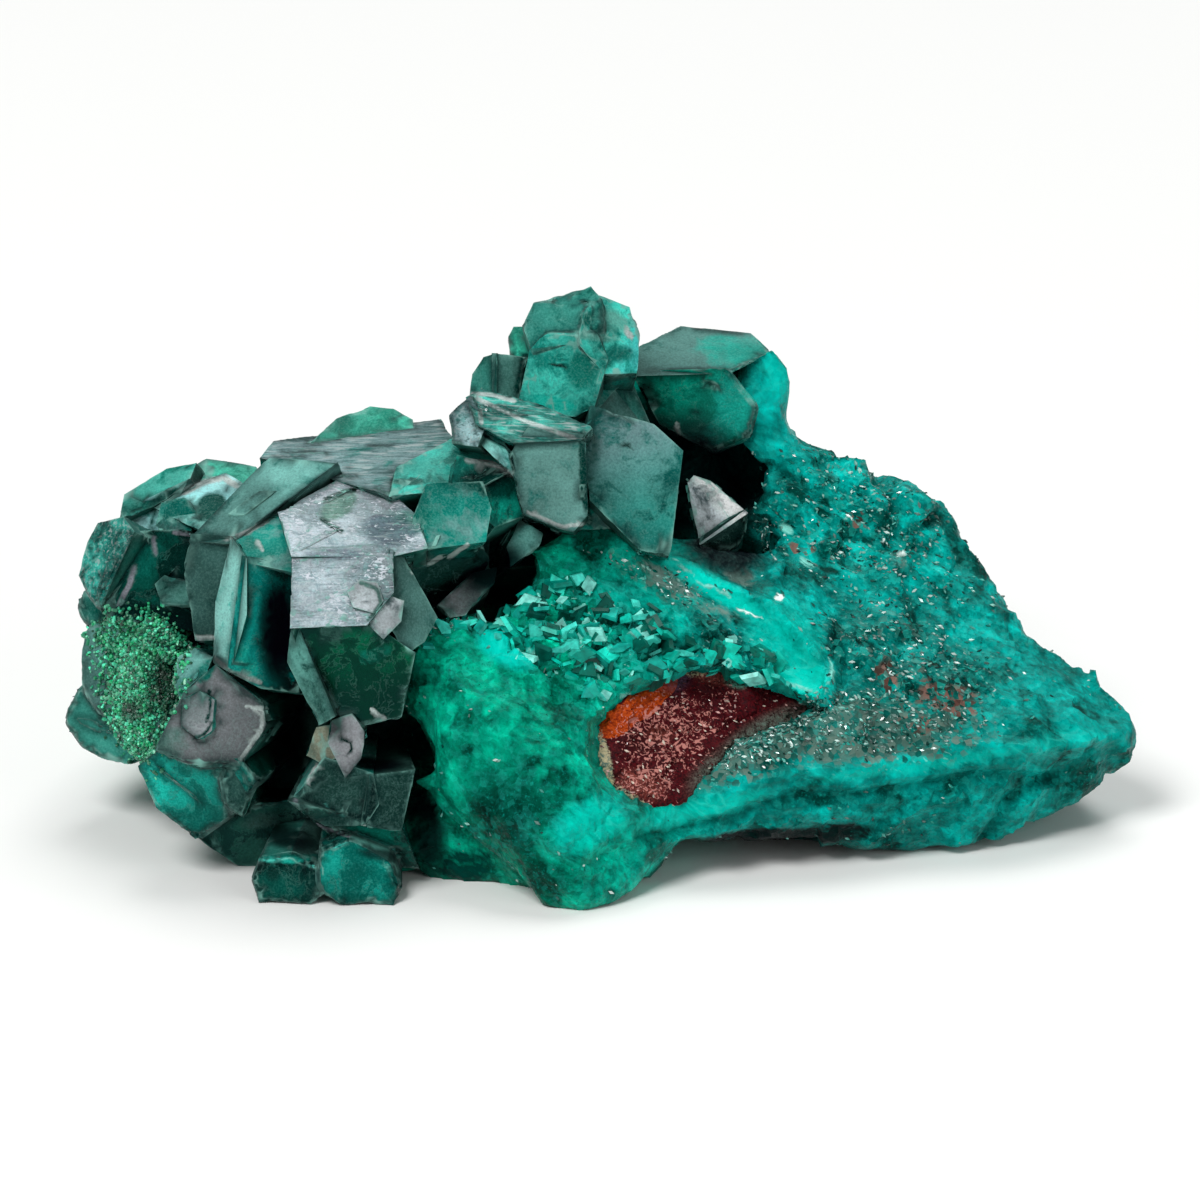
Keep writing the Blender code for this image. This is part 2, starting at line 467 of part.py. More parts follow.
def face_planes(face, grow, heart):
    """The planes round the block of crystal behind a face, grown outwards by grow."""
    normal = face.normal()
    order = convex_hull_2d([Vector(corner) for corner in face.corners])
    rim = [face.corners[index] for index in order]
    lifted = [Vector((across, up, face.depth_at(across, up))) for across, up in rim]
    middle = sum(lifted, Vector()) / len(lifted)
    spread = math.radians(face.spread)
    forward = (middle - Vector(heart)).normalized()
    planes = [(middle + normal * grow, normal)]
    planes.append((middle - forward * (face.thick + grow), -normal))
    for start, end in zip(lifted, lifted[1:] + lifted[:1]):
        outward = (end - start).cross(forward).normalized()
        if outward.dot(start - middle) < 0:
            outward.negate()
        side = forward * math.sin(spread) + outward * math.cos(spread)
        planes.append((start + outward * EDGE_OVERLAP + side * grow, side))
    return [(to_world(point), to_world(direction)) for point, direction in planes], to_world(middle)


def face_solid(name, face, grow=0.0, heart=FAR_HEART):
    planes, middle = face_planes(face, grow, heart)
    return solid_inside(name, planes, middle)


def prism_solid(name, tip, direction, width, length, spin, grow=0.0):
    """A six-sided prism with three end faces, from its tip back along its direction."""
    axis = Vector(direction).normalized()
    tip = Vector(tip)
    first = axis.orthogonal().normalized()
    foot = tip - axis * length
    planes = [(foot - axis * grow, -axis)]
    for index in range(PRISM_SIDES):
        turn = Matrix.Rotation(math.radians(spin) + index * math.tau / PRISM_SIDES, 3, axis)
        side = turn @ first
        planes.append((tip + side * (width / 2 + grow), side))
    for index in range(END_FACES):
        turn = Matrix.Rotation(math.radians(spin) + END_TURN + index * math.tau / END_FACES, 3, axis)
        slope = axis * math.cos(END_SLOPE) + (turn @ first) * math.sin(END_SLOPE)
        planes.append((tip + slope * grow, slope))
    return solid_inside(name, planes, foot)


def replace_mesh(made, modifier):
    """Applies one modifier to an object."""
    graph = bpy.context.evaluated_depsgraph_get()
    mesh = bpy.data.meshes.new_from_object(made.evaluated_get(graph))
    made.modifiers.remove(modifier)
    made.data = mesh


def remove_objects(objects):
    for old in objects:
        bpy.data.objects.remove(old, do_unlink=True)


def apply_boolean(made, others, operation):
    """Joins others to an object or cuts them from it, and removes them."""
    group = bpy.data.collections.new(operation)
    for other in others:
        group.objects.link(other)
    modifier = made.modifiers.new(operation, "BOOLEAN")
    modifier.operation = operation
    modifier.operand_type = "COLLECTION"
    modifier.collection = group
    modifier.solver = "EXACT"
    replace_mesh(made, modifier)
    remove_objects(others)
    bpy.data.collections.remove(group)


def join_as_one_mesh(name, solids):
    """One object that holds every solid's faces, still overlapping."""
    bm = bmesh.new()
    for solid in solids:
        bm.from_mesh(solid.data)
    remove_objects(solids)
    return add_object(name, bm)


def remesh(made, voxel):
    modifier = made.modifiers.new("remesh", "REMESH")
    modifier.mode = "VOXEL"
    modifier.voxel_size = voxel
    replace_mesh(made, modifier)
    sort_points(made)


def sort_points(made):
    """Puts the points and faces in the order of their places, so that each run ends the same."""
    points = [tuple(round(value, 4) for value in vertex.co) for vertex in made.data.vertices]
    order = sorted(range(len(points)), key=points.__getitem__)
    rank = {old: new for new, old in enumerate(order)}
    faces = []
    for polygon in made.data.polygons:
        ring = [rank[index] for index in polygon.vertices]
        start = ring.index(min(ring))
        faces.append(ring[start:] + ring[:start])
    mesh = bpy.data.meshes.new(made.name)
    mesh.from_pydata([points[index] for index in order], [], sorted(faces))
    made.data = mesh


def thin_out(made, triangles):
    modifier = made.modifiers.new("thin_out", "DECIMATE")
    modifier.ratio = min(1.0, triangles / (2 * len(made.data.polygons)))
    replace_mesh(made, modifier)


def facet_shift(place, size, step, tilt):
    """How far broken rock stands out at a place: flat tilted facets with ledges between them."""
    nearest = noise.voronoi(place / size)[1][0]
    lean = Vector([noise.noise(nearest * pattern) for pattern in LEAN_PATTERNS])
    return step * noise.noise(nearest * HEIGHT_PATTERN) + tilt * lean.dot(place - nearest * size)


def roughen(made, layers, front_only=False):
    """Breaks a smooth body up into ledges and grains, each layer by size, step and tilt.

    front_only leaves the sides as they are, so that the body still fits its recess.
    """
    mesh = made.data
    towards = to_world((0, 0, 1))
    normals = [vertex.normal.copy() for vertex in mesh.vertices]
    for vertex, normal in zip(mesh.vertices, normals):
        shift = sum(facet_shift(vertex.co, size, step, tilt) for size, step, tilt in layers)
        facing = normal.dot(towards)
        if not front_only:
            vertex.co += normal * shift
        elif facing > FRONT_FACING:
            vertex.co += towards * shift
    mesh.update()


def keep_largest(made):
    """Drops the loose chips that a cut leaves beside the largest body."""
    bm = bmesh.new()
    bm.from_mesh(made.data)
    bmesh.ops.remove_doubles(bm, verts=bm.verts[:], dist=SAME_POINT)
    left = set(bm.verts)
    bodies = []
    while left:
        body = {left.pop()}
        edge_of_body = list(body)
        while edge_of_body:
            vertex = edge_of_body.pop()
            for edge in vertex.link_edges:
                other = edge.other_vert(vertex)
                if other in left:
                    left.discard(other)
                    body.add(other)
                    edge_of_body.append(other)
        bodies.append(body)
    bodies.sort(key=len)
    for body in bodies[:-1]:
        bmesh.ops.delete(bm, geom=list(body), context="VERTS")
    bm.to_mesh(made.data)
    bm.free()


def floor_block():
    """The room under the specimen, which cuts its feet flat."""
    bm = bmesh.new()
    bmesh.ops.create_cube(bm, size=2 * FAR_REACH, matrix=Matrix.Translation((0, 0, FLOOR_LEVEL - FAR_REACH)))
    return add_object("floor_block", bm)


def cluster_solids(grow):
    solids = [
        face_solid(name, face, grow, heart)
        for crystals, heart in ((LEFT_CRYSTALS, LEFT_HEART), (MIDDLE_CRYSTALS, MIDDLE_HEART))
        for name, faces in crystals.items()
        for face in faces
    ]
    solids += [prism_solid("rear_prism", *prism, grow=grow) for prism in REAR_PRISMS]
    return solids


def root_solids(grow):
    roots = [hull_solid(name, corners) for name, corners in CLUSTER_ROOTS.items()]
    if grow:
        for root in roots:
            widen(root, grow)
    return roots


def widen(made, grow):
    """Moves each corner of a convex lump outwards along its normal."""
    bm = bmesh.new()
    bm.from_mesh(made.data)
    bm.normal_update()
    moved = [(vertex, vertex.normal * grow * vertex.calc_shell_factor()) for vertex in bm.verts]
    for vertex, shift in moved:
        vertex.co += shift
    bm.to_mesh(made.data)
    bm.free()


def make_cluster():
    solids = cluster_solids(0) + root_solids(0)
    cluster = solids[0]
    cluster.name = "crystal_cluster"
    apply_boolean(cluster, solids[1:], "UNION")
    apply_boolean(cluster, [floor_block()], "DIFFERENCE")
    keep_largest(cluster)
    return cluster


def make_crystal(name, faces):
    solids = [face_solid(name, face) for face in faces]
    apply_boolean(solids[0], solids[1:], "UNION")
    solids[0].name = name
    return solids[0]


def make_oxide():
    oxide = join_as_one_mesh("iron_oxide_crust", [face_solid("crust", face) for face in OXIDE_FACES])
    remesh(oxide, OXIDE_VOXEL)
    roughen(oxide, ((OXIDE_GRAIN_SIZE, OXIDE_GRAIN_STEP, 0.0),), front_only=True)
    thin_out(oxide, OXIDE_TRIANGLES)
    keep_largest(oxide)
    return oxide


def recess_solids():
    """The open recess that the oxide crust lies in."""
    deeper = [
        replace(face, near=face.near + RECESS_DEPTH, thick=face.thick + RECESS_DEPTH) for face in OXIDE_FACES
    ]
    return [face_solid("recess", face, CLEARANCE) for face in deeper]


def make_mass():
    lumps = [hull_solid(name, corners) for name, corners in {**MASS_LUMPS, **BACK_LUMPS}.items()]
    lumps += [
        prism_solid("heel", (x, y, HEEL_TIP), (0, 0, -1), HEEL_WIDTH, HEEL_HEIGHT, HEEL_SPIN * index)
        for index, (x, y) in enumerate(HEELS)
    ]
    mass = join_as_one_mesh("dioptase_mass", lumps)
    remesh(mass, MASS_VOXEL)
    roughen(mass, ((LEDGE_SIZE, LEDGE_STEP, LEDGE_TILT), (GRAIN_SIZE, GRAIN_STEP, LEDGE_TILT)))
    thin_out(mass, MASS_TRIANGLES)
    apply_boolean(mass, [prism_solid("prism", *prism) for prism in MASS_PRISMS], "UNION")
    cutters = cluster_solids(CLEARANCE) + root_solids(CLEARANCE) + recess_solids()
    cutters += [face_solid("shoulder", face, CLEARANCE) for face in SHOULDER_CRYSTAL]
    cutters += [face_solid("cavity", face, CLEARANCE) for face in CAVITY_CRYSTAL]
    cutters.append(floor_block())
    apply_boolean(mass, cutters, "DIFFERENCE")
    keep_largest(mass)
    return mass


def set_material(made, name, color, roughness, transmission=0.0):
    material = bpy.data.materials.new(name)
    material.use_nodes = True
    shader = material.node_tree.nodes["Principled BSDF"]
    shader.inputs["Base Color"].default_value = (*color, 1.0)
    shader.inputs["Roughness"].default_value = roughness
    shader.inputs["Metallic"].default_value = 0.0
    shader.inputs["Transmission Weight"].default_value = transmission
    made.data.materials.clear()
    made.data.materials.append(material)


def stand_on_origin(pieces):
    """Turns the pieces to metres, with the middle of their footprint over the origin."""
    corners = [vertex.co for piece in pieces for vertex in piece.data.vertices]
    low = Vector([min(corner[axis] for corner in corners) for axis in range(3)])
    high = Vector([max(corner[axis] for corner in corners) for axis in range(3)])
    shift = Vector((-(low.x + high.x) / 2, -(low.y + high.y) / 2, -low.z))
    for piece in pieces:
        piece.data.transform(Matrix.Scale(MM, 4) @ Matrix.Translation(shift))
        piece.data.update()
    print("size", [round(value, 2) for value in high - low], "shift", [round(value, 3) for value in shift])


def main():
    clear_scene()
    for faces in (*LEFT_CRYSTALS.values(), *MIDDLE_CRYSTALS.values()):
        place_faces(faces)
    for faces in (SHOULDER_CRYSTAL, CAVITY_CRYSTAL, OXIDE_FACES):
        place_faces(faces)
    cluster = make_cluster()
    shoulder = make_crystal("shoulder_crystal", SHOULDER_CRYSTAL)
    cavity = make_crystal("cavity_crystal", CAVITY_CRYSTAL)
    oxide = make_oxide()
    mass = make_mass()
    set_material(cluster, "dark_dioptase_crystal", (0.012, 0.13, 0.09), 0.15, 0.3)
    set_material(shoulder, "veiled_dioptase_crystal", (0.03, 0.2, 0.15), 0.2, 0.3)
    set_material(cavity, "grey_dioptase_crystal", (0.1, 0.13, 0.13), 0.2, 0.2)
    set_material(oxide, "red_iron_oxide", (0.08, 0.006, 0.008), 0.7)
    set_material(mass, "granular_dioptase", (0.0, 0.33, 0.24), 0.35)
    stand_on_origin([cluster, shoulder, cavity, oxide, mass])


main()
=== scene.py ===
"""A dioptase specimen in a studio: dark green crystals, a granular green mass and a patch of iron oxide.

Each piece starts from the solid of the same name and gets its fine surface here: worn edges, growth
plates and druse on the crystals, broken grains and cleavage flecks on the mass, and crumbs on the oxide.
"""

import logging
import math
import random
from collections.abc import Callable, Sequence
from dataclasses import dataclass, field
from enum import Enum
from functools import partial

import bmesh
import bpy
import numpy as np
from bmesh.types import BMesh, BMLayerItem
from bpy.types import Material, Mesh, Node, NodeSocket, NodeTree, Object
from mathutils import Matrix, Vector, noise
from mathutils.bvhtree import BVHTree
from mathutils.kdtree import KDTree


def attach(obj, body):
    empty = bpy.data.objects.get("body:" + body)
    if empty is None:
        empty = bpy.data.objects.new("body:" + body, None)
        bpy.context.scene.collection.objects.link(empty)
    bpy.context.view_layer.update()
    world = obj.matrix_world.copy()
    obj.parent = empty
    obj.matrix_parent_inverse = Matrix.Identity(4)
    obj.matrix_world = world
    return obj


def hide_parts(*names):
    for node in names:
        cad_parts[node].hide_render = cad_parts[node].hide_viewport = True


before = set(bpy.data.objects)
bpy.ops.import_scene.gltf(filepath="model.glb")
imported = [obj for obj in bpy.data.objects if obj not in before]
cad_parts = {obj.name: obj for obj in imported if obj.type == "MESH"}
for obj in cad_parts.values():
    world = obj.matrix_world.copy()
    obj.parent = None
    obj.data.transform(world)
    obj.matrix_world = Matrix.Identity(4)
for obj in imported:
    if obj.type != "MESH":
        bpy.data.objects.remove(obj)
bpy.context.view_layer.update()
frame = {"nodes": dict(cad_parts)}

LOG = logging.getLogger("dioptase")
MM = 0.001
MERGE_DISTANCE = 1e-6
# Red, green, blue and alpha in linear light
Tint = tuple[float, float, float, float]
# Across, up and near, or x, y and z
Triple = tuple[float, float, float]


def linear(code: str) -> Triple:
    """Turns an sRGB hex colour to linear light.

    Args:
        code: The colour as six hex digits after a hash sign.

    Returns:
        Red, green and blue in linear light.
    """
    channels = [int(code[start:start + 2], 16) / 255 for start in (1, 3, 5)]
    red, green, blue = [c / 12.92 if c <= 0.04045 else ((c + 0.055) / 1.055) ** 2.4 for c in channels]
    return red, green, blue


def opaque(code: str) -> Tint:
    """Gives an sRGB hex colour as linear red, green, blue and full alpha."""
    return (*linear(code), 1.0)


def smooth(values: np.ndarray) -> np.ndarray:
    """Eases values between 0 and 1, and clips what lies outside."""
    clipped = np.clip(values, 0.0, 1.0)
    return clipped * clipped * (3 - 2 * clipped)


def feed(node: Node, inputs: dict) -> None:
    """Sets or links the inputs of a shader node.

    Args:
        node: The node.
        inputs: Values, source sockets or source nodes, by the input's name or number.
    """
    for name, value in inputs.items():
        if isinstance(value, Node):
            value = next(output for output in value.outputs if output.enabled)
        if isinstance(value, NodeSocket):
            node.id_data.links.new(value, node.inputs[name])
        else:
            node.inputs[name].default_value = value


def add_node(tree: NodeTree, kind: str, inputs: dict | None = None, **settings: object) -> Node:
    """Adds one shader node with its settings and links. A Mix node mixes colours.

    Args:
        tree: The material's node tree.
        kind: The node's type name after its first word, ShaderNode.
        inputs: Values, source sockets or source nodes, by the input's name or number.
        settings: The node's own properties.

    Returns:
        The new node.
    """
    node = tree.nodes.new("ShaderNode" + kind)
    if kind == "Mix":
        node.data_type = "RGBA"
    for name, value in settings.items():
        setattr(node, name, value)
    feed(node, inputs or {})
    return node


@dataclass(frozen=True)
class SightFrame:
    """The axes of the picture: across to the right, up the picture and near to the viewer, in millimetres.

    The viewer looks down on the specimen by tilt. shift is where the specimen's own frame lies in it.
    """

    tilt: float = math.radians(20)
    shift: Triple = (0.063, -13.149, 0.12)

    def place(self, across: float, up: float, near: float) -> Vector:
        """Gives a place of the picture in the specimen's frame.

        Args:
            across: Millimetres to the right.
            up: Millimetres up the picture.
            near: Millimetres towards the viewer.

        Returns:
            The place in metres.
        """
        sine, cosine = math.sin(self.tilt), math.cos(self.tilt)
        turned = Vector((across, up * sine - near * cosine, up * cosine + near * sine))
        return (turned + Vector(self.shift)) * MM

    def towards(self) -> Vector:
        """The direction from the specimen to the viewer."""
        return Vector((0, -math.cos(self.tilt), math.sin(self.tilt)))

    def measure(self, points: np.ndarray) -> np.ndarray:
        """Gives points of the specimen in the axes of the picture.

        Args:
            points: Rows of x, y, z in metres.

        Returns:
            Rows of across, up and near in millimetres.
        """
        sine, cosine = math.sin(self.tilt), math.cos(self.tilt)
        x, y, z = (points / MM - np.array(self.shift)).T
        return np.stack([x, y * sine + z * cosine, z * sine - y * cosine], axis=1)


SIGHT = SightFrame()


@dataclass(frozen=True)
class Spot:
    """A patch of the surface by its middle in the picture, half width, half height and turn in degrees.

    deep is how far it reaches before and behind the surface at its middle, all in millimetres.
    """

    across: float
    up: float
    wide: float
    tall: float
    turn: float = 0.0
    strength: float = 1.0
    soft: float = 0.5
    deep: float = 3.0

    def places(self) -> tuple[tuple[float, float], ...]:
        """Gives the place that the patch lies at."""
        return ((self.across, self.up),)

    def weights(self, measured: np.ndarray, nears: list[float]) -> np.ndarray:
        """Tells how much each point belongs to the patch.

        Args:
            measured: Rows of across, up and near.
            nears: How near the surface is at the patch's middle, in a list.

        Returns:
            One number from 0 to strength for each point.
        """
        turn = math.radians(self.turn)
        right = measured[:, 0] - self.across
        above = measured[:, 1] - self.up
        along = (right * math.cos(turn) + above * math.sin(turn)) / self.wide
        over = (above * math.cos(turn) - right * math.sin(turn)) / self.tall
        behind = (measured[:, 2] - nears[0]) / self.deep
        reach = np.sqrt(along * along + over * over + behind * behind)
        return self.strength * smooth((1 + self.soft - reach) / (2 * self.soft))


@dataclass(frozen=True)
class Seam:
    """A ridge or groove along a line of the picture, in millimetres.

    rise is its height, below 0 for a groove, and light the painted light along it, below 0 for painted shade.
    """

    line: tuple[tuple[float, float], ...]
    wide: float
    rise: float = 0.0
    light: float = 0.0
    deep: float = 1.2

    def places(self) -> tuple[tuple[float, float], ...]:
        """Gives the places that the seam runs through."""
        return self.line

    def weights(self, measured: np.ndarray, nears: list[float]) -> np.ndarray:
        """Tells how much each point belongs to the seam.

        Args:
            measured: Rows of across, up and near.
            nears: How near the surface is at each point of the line.

        Returns:
            One number from 0 to 1 for each point.
        """
        total = np.zeros(len(measured))
        knots = [np.array((*place, near)) for place, near in zip(self.line, nears)]
        for first, last in zip(knots, knots[1:]):
            run = last - first
            away = measured - first
            share = np.clip((away[:, :2] @ run[:2]) / (run[:2] @ run[:2]), 0, 1)
            rest = away - share[:, None] * run
            aside = np.hypot(rest[:, 0], rest[:, 1]) / self.wide
            weight = smooth(1 - aside) * smooth(2 - np.abs(rest[:, 2]) / self.deep)
            total = np.maximum(total, weight)
        return total


Marks = tuple[Spot | Seam, ...]


class Body:
    """The solids of the frame as one surface that can be probed from the viewer's side."""

    START = 60.0

    def __init__(self, nodes: dict[str, Object]) -> None:
        """Builds the search tree over every node's faces.

        Args:
            nodes: The solids by name.
        """
        points: list[Vector] = []
        faces: list[tuple[int, ...]] = []
        for node in nodes.values():
            first = len(points)
            points += [vertex.co.copy() for vertex in node.data.vertices]
            faces += [tuple(first + index for index in polygon.vertices) for polygon in node.data.polygons]
        self.tree = BVHTree.FromPolygons(points, faces)
        self.nears: dict[tuple[float, float], float] = {}

    def near_at(self, across: float, up: float) -> float:
        """Tells how near the surface is at a place of the picture.

        Args:
            across: Millimetres to the right.
            up: Millimetres up the picture.

        Returns:
            Millimetres towards the viewer, or 0 where nothing is hit.
        """
        hit = self.tree.ray_cast(SIGHT.place(across, up, self.START), -SIGHT.towards())[0]
        return float(SIGHT.measure(np.array([hit]))[0][2]) if hit else 0.0

    def weigh(self, marks: Marks, measured: np.ndarray) -> np.ndarray:
        """Joins several spots and seams into one mask.

        Args:
            marks: The spots and seams.
            measured: Rows of across, up and near.

        Returns:
            The largest weight at each point.
        """
        total = np.zeros(len(measured))
        for mark in marks:
            for place in mark.places():
                if place not in self.nears:
                    self.nears[place] = self.near_at(*place)
            total = np.maximum(total, mark.weights(measured, [self.nears[place] for place in mark.places()]))
        return total

    def stain(self, stains: dict[str, Marks], measured: np.ndarray) -> np.ndarray:
        """Lays the colours of several stains over each other.

        Args:
            stains: The spots and seams of each colour, the lowest first.
            measured: Rows of across, up and near.

        Returns:
            Rows of red, green and blue in linear light and how much they hide.
        """
        total = np.zeros((len(measured), 4))
        for code, marks in stains.items():
            weight = self.weigh(marks, measured)[:, None]
            hidden = total[:, 3:] * (1 - weight)
            whole = hidden + weight
            total[:, :3] = (total[:, :3] * hidden + np.array(linear(code)) * weight) / np.maximum(whole, 1e-6)
            total[:, 3:] = whole
        return total


# The deep gaps between the crystals, painted in shade because no light comes back from them
SHADED_HOLLOWS = (
    Spot(-12.5, 6.3, 0.85, 3.2, -6, 1.0, 0.3, 3.0),
    Spot(-12.7, 11.0, 0.8, 2.1, 0, 1.0, 0.3, 1.5),
    Spot(-16.4, 11.2, 1.5, 0.8, -15, 1.0, 0.35, 2.2),
    Spot(-17.6, 11.7, 1.3, 0.35, -8, 0.8, 0.5, 1.5),
    Spot(-4.2, 13.4, 1.4, 0.9, 30, 1.0, 0.35, 2.0),
    Spot(-3.9, 12.4, 1.0, 0.35, -20, 0.8, 0.4, 1.0),
    Spot(3.4, 17.3, 3.6, 2.5, -20, 1.0, 0.3, 5.5),
    Spot(5.0, 14.4, 1.8, 1.3, -30, 1.0, 0.35, 5.0),
    Spot(-7.6, 6.6, 1.0, 1.0, 20, 0.9, 0.4, 3.0),
    Spot(-8.9, 5.7, 1.2, 0.4, 0, 1.0, 0.4, 2.0),
    Spot(-7.0, 3.2, 0.8, 2.4, 12, 0.95, 0.4, 3.0),
    Spot(-8.4, 2.1, 1.2, 0.25, -10, 0.9, 0.4, 2.0),
    Spot(-12.4, 2.8, 1.3, 0.5, -20, 0.9, 0.4, 2.5),
    Spot(5.4, 2.65, 1.8, 0.4, 8, 0.9, 0.4, 4.0),
    Spot(-15.2, 9.9, 0.9, 0.25, -35, 0.9, 0.4, 1.5),
)


class Relief(Enum):
    """The fine relief that a crystal face grew with."""

    SMOOTH = "smooth"
    STRIATED = "striated"
    GLITTERING = "glittering"
    PITTED = "pitted"


@dataclass(frozen=True)
class FaceLook:
    """How one kind of crystal face looks: its film or surface colour, the clear body under it and its gloss.

    cover is the share of the face that the film hides, film how dusty it is. far_color is the colour that
    the face fades to along fade, degrees from across in the picture.
    """

    color: str
    under: str = "#00342a"
    cover: float = 0.85
    far_color: str | None = None
    fade: float = 0.0
    rough: float = 0.3
    film: float = 0.3
    relief: Relief = Relief.SMOOTH


class Look(Enum):
    """The kinds of face on the specimen, by the body colour and the bloom and painted sheen that dull them.
    """

    VEILED = FaceLook("#4e7a74", "#0e4f48", 0.7, rough=0.42, film=0.35)
    VEILED_DARK = FaceLook("#2c4f49", "#08211d", 0.68, rough=0.4, film=0.3)
    VEILED_GREEN = FaceLook("#35877a", "#005e51", 0.62, rough=0.38, film=0.3)
    PALE = FaceLook("#78b2aa", "#2f9288", 0.72, rough=0.35, film=0.4)
    CLEAR = FaceLook("#087060", "#003a32", 0.45, rough=0.14, film=0.05)
    CLEAR_BRIGHT = FaceLook("#0c8578", "#00564d", 0.5, rough=0.2, film=0.12)
    EMERALD = FaceLook("#006f48", "#002c17", 0.5, "#001508", -80, 0.12, 0.0)
    DEEP = FaceLook("#00826c", "#004a3d", 0.55, "#000503", -70, 0.14, 0.05)
    TWIN = FaceLook("#0c968c", "#006a63", 0.6, "#020609", 0, 0.12, 0.03)
    BLOOM = FaceLook("#6b6a6e", "#3f4547", 0.85, rough=0.5, film=0.25)
    BLOOM_FADING = FaceLook("#5c7275", "#08504a", 0.56, "#2a9488", -75, 0.4, 0.3)
    LEDGED = FaceLook("#a4aaae", "#3c4448", 0.6, rough=0.35, film=0.2, relief=Relief.PITTED)
    # A near-black face; on the shaded plate walls it stands for painted shade
    NIGHT = FaceLook("#071713", "#020505", 0.5, rough=0.15, film=0.03)
    GREEN = FaceLook("#2a917a", "#005a48", 0.55, rough=0.3, film=0.25)
    STRIAE = FaceLook("#5f7678", "#2a655f", 0.65, rough=0.3, film=0.2, relief=Relief.STRIATED)
    SUMMIT = FaceLook("#2fa192", "#0a5f55", 0.55, rough=0.34, film=0.35, relief=Relief.PITTED)
    STRIAE_GREEN = FaceLook("#2fa192", "#005f55", 0.5, rough=0.32, film=0.22, relief=Relief.STRIATED)
    GLITTER = FaceLook("#8f989f", "#74848a", 0.6, rough=0.2, film=0.1, relief=Relief.GLITTERING)
    MOTTLED = FaceLook("#5a8a85", "#0b7d70", 0.45, rough=0.36, film=0.45, relief=Relief.PITTED)
    CREAM = FaceLook("#8c8a76", "#44564a", 0.7, rough=0.5, film=0.3, relief=Relief.PITTED)


@dataclass(frozen=True)
class FacePick:
    """Names the face that the viewer sees at a place of the picture, with its look and a tone."""

    across: float
    up: float
    look: Look
    # The tone scales the look's colours: partly the face's own lightness, partly painted light and shade
    tone: float = 1.0
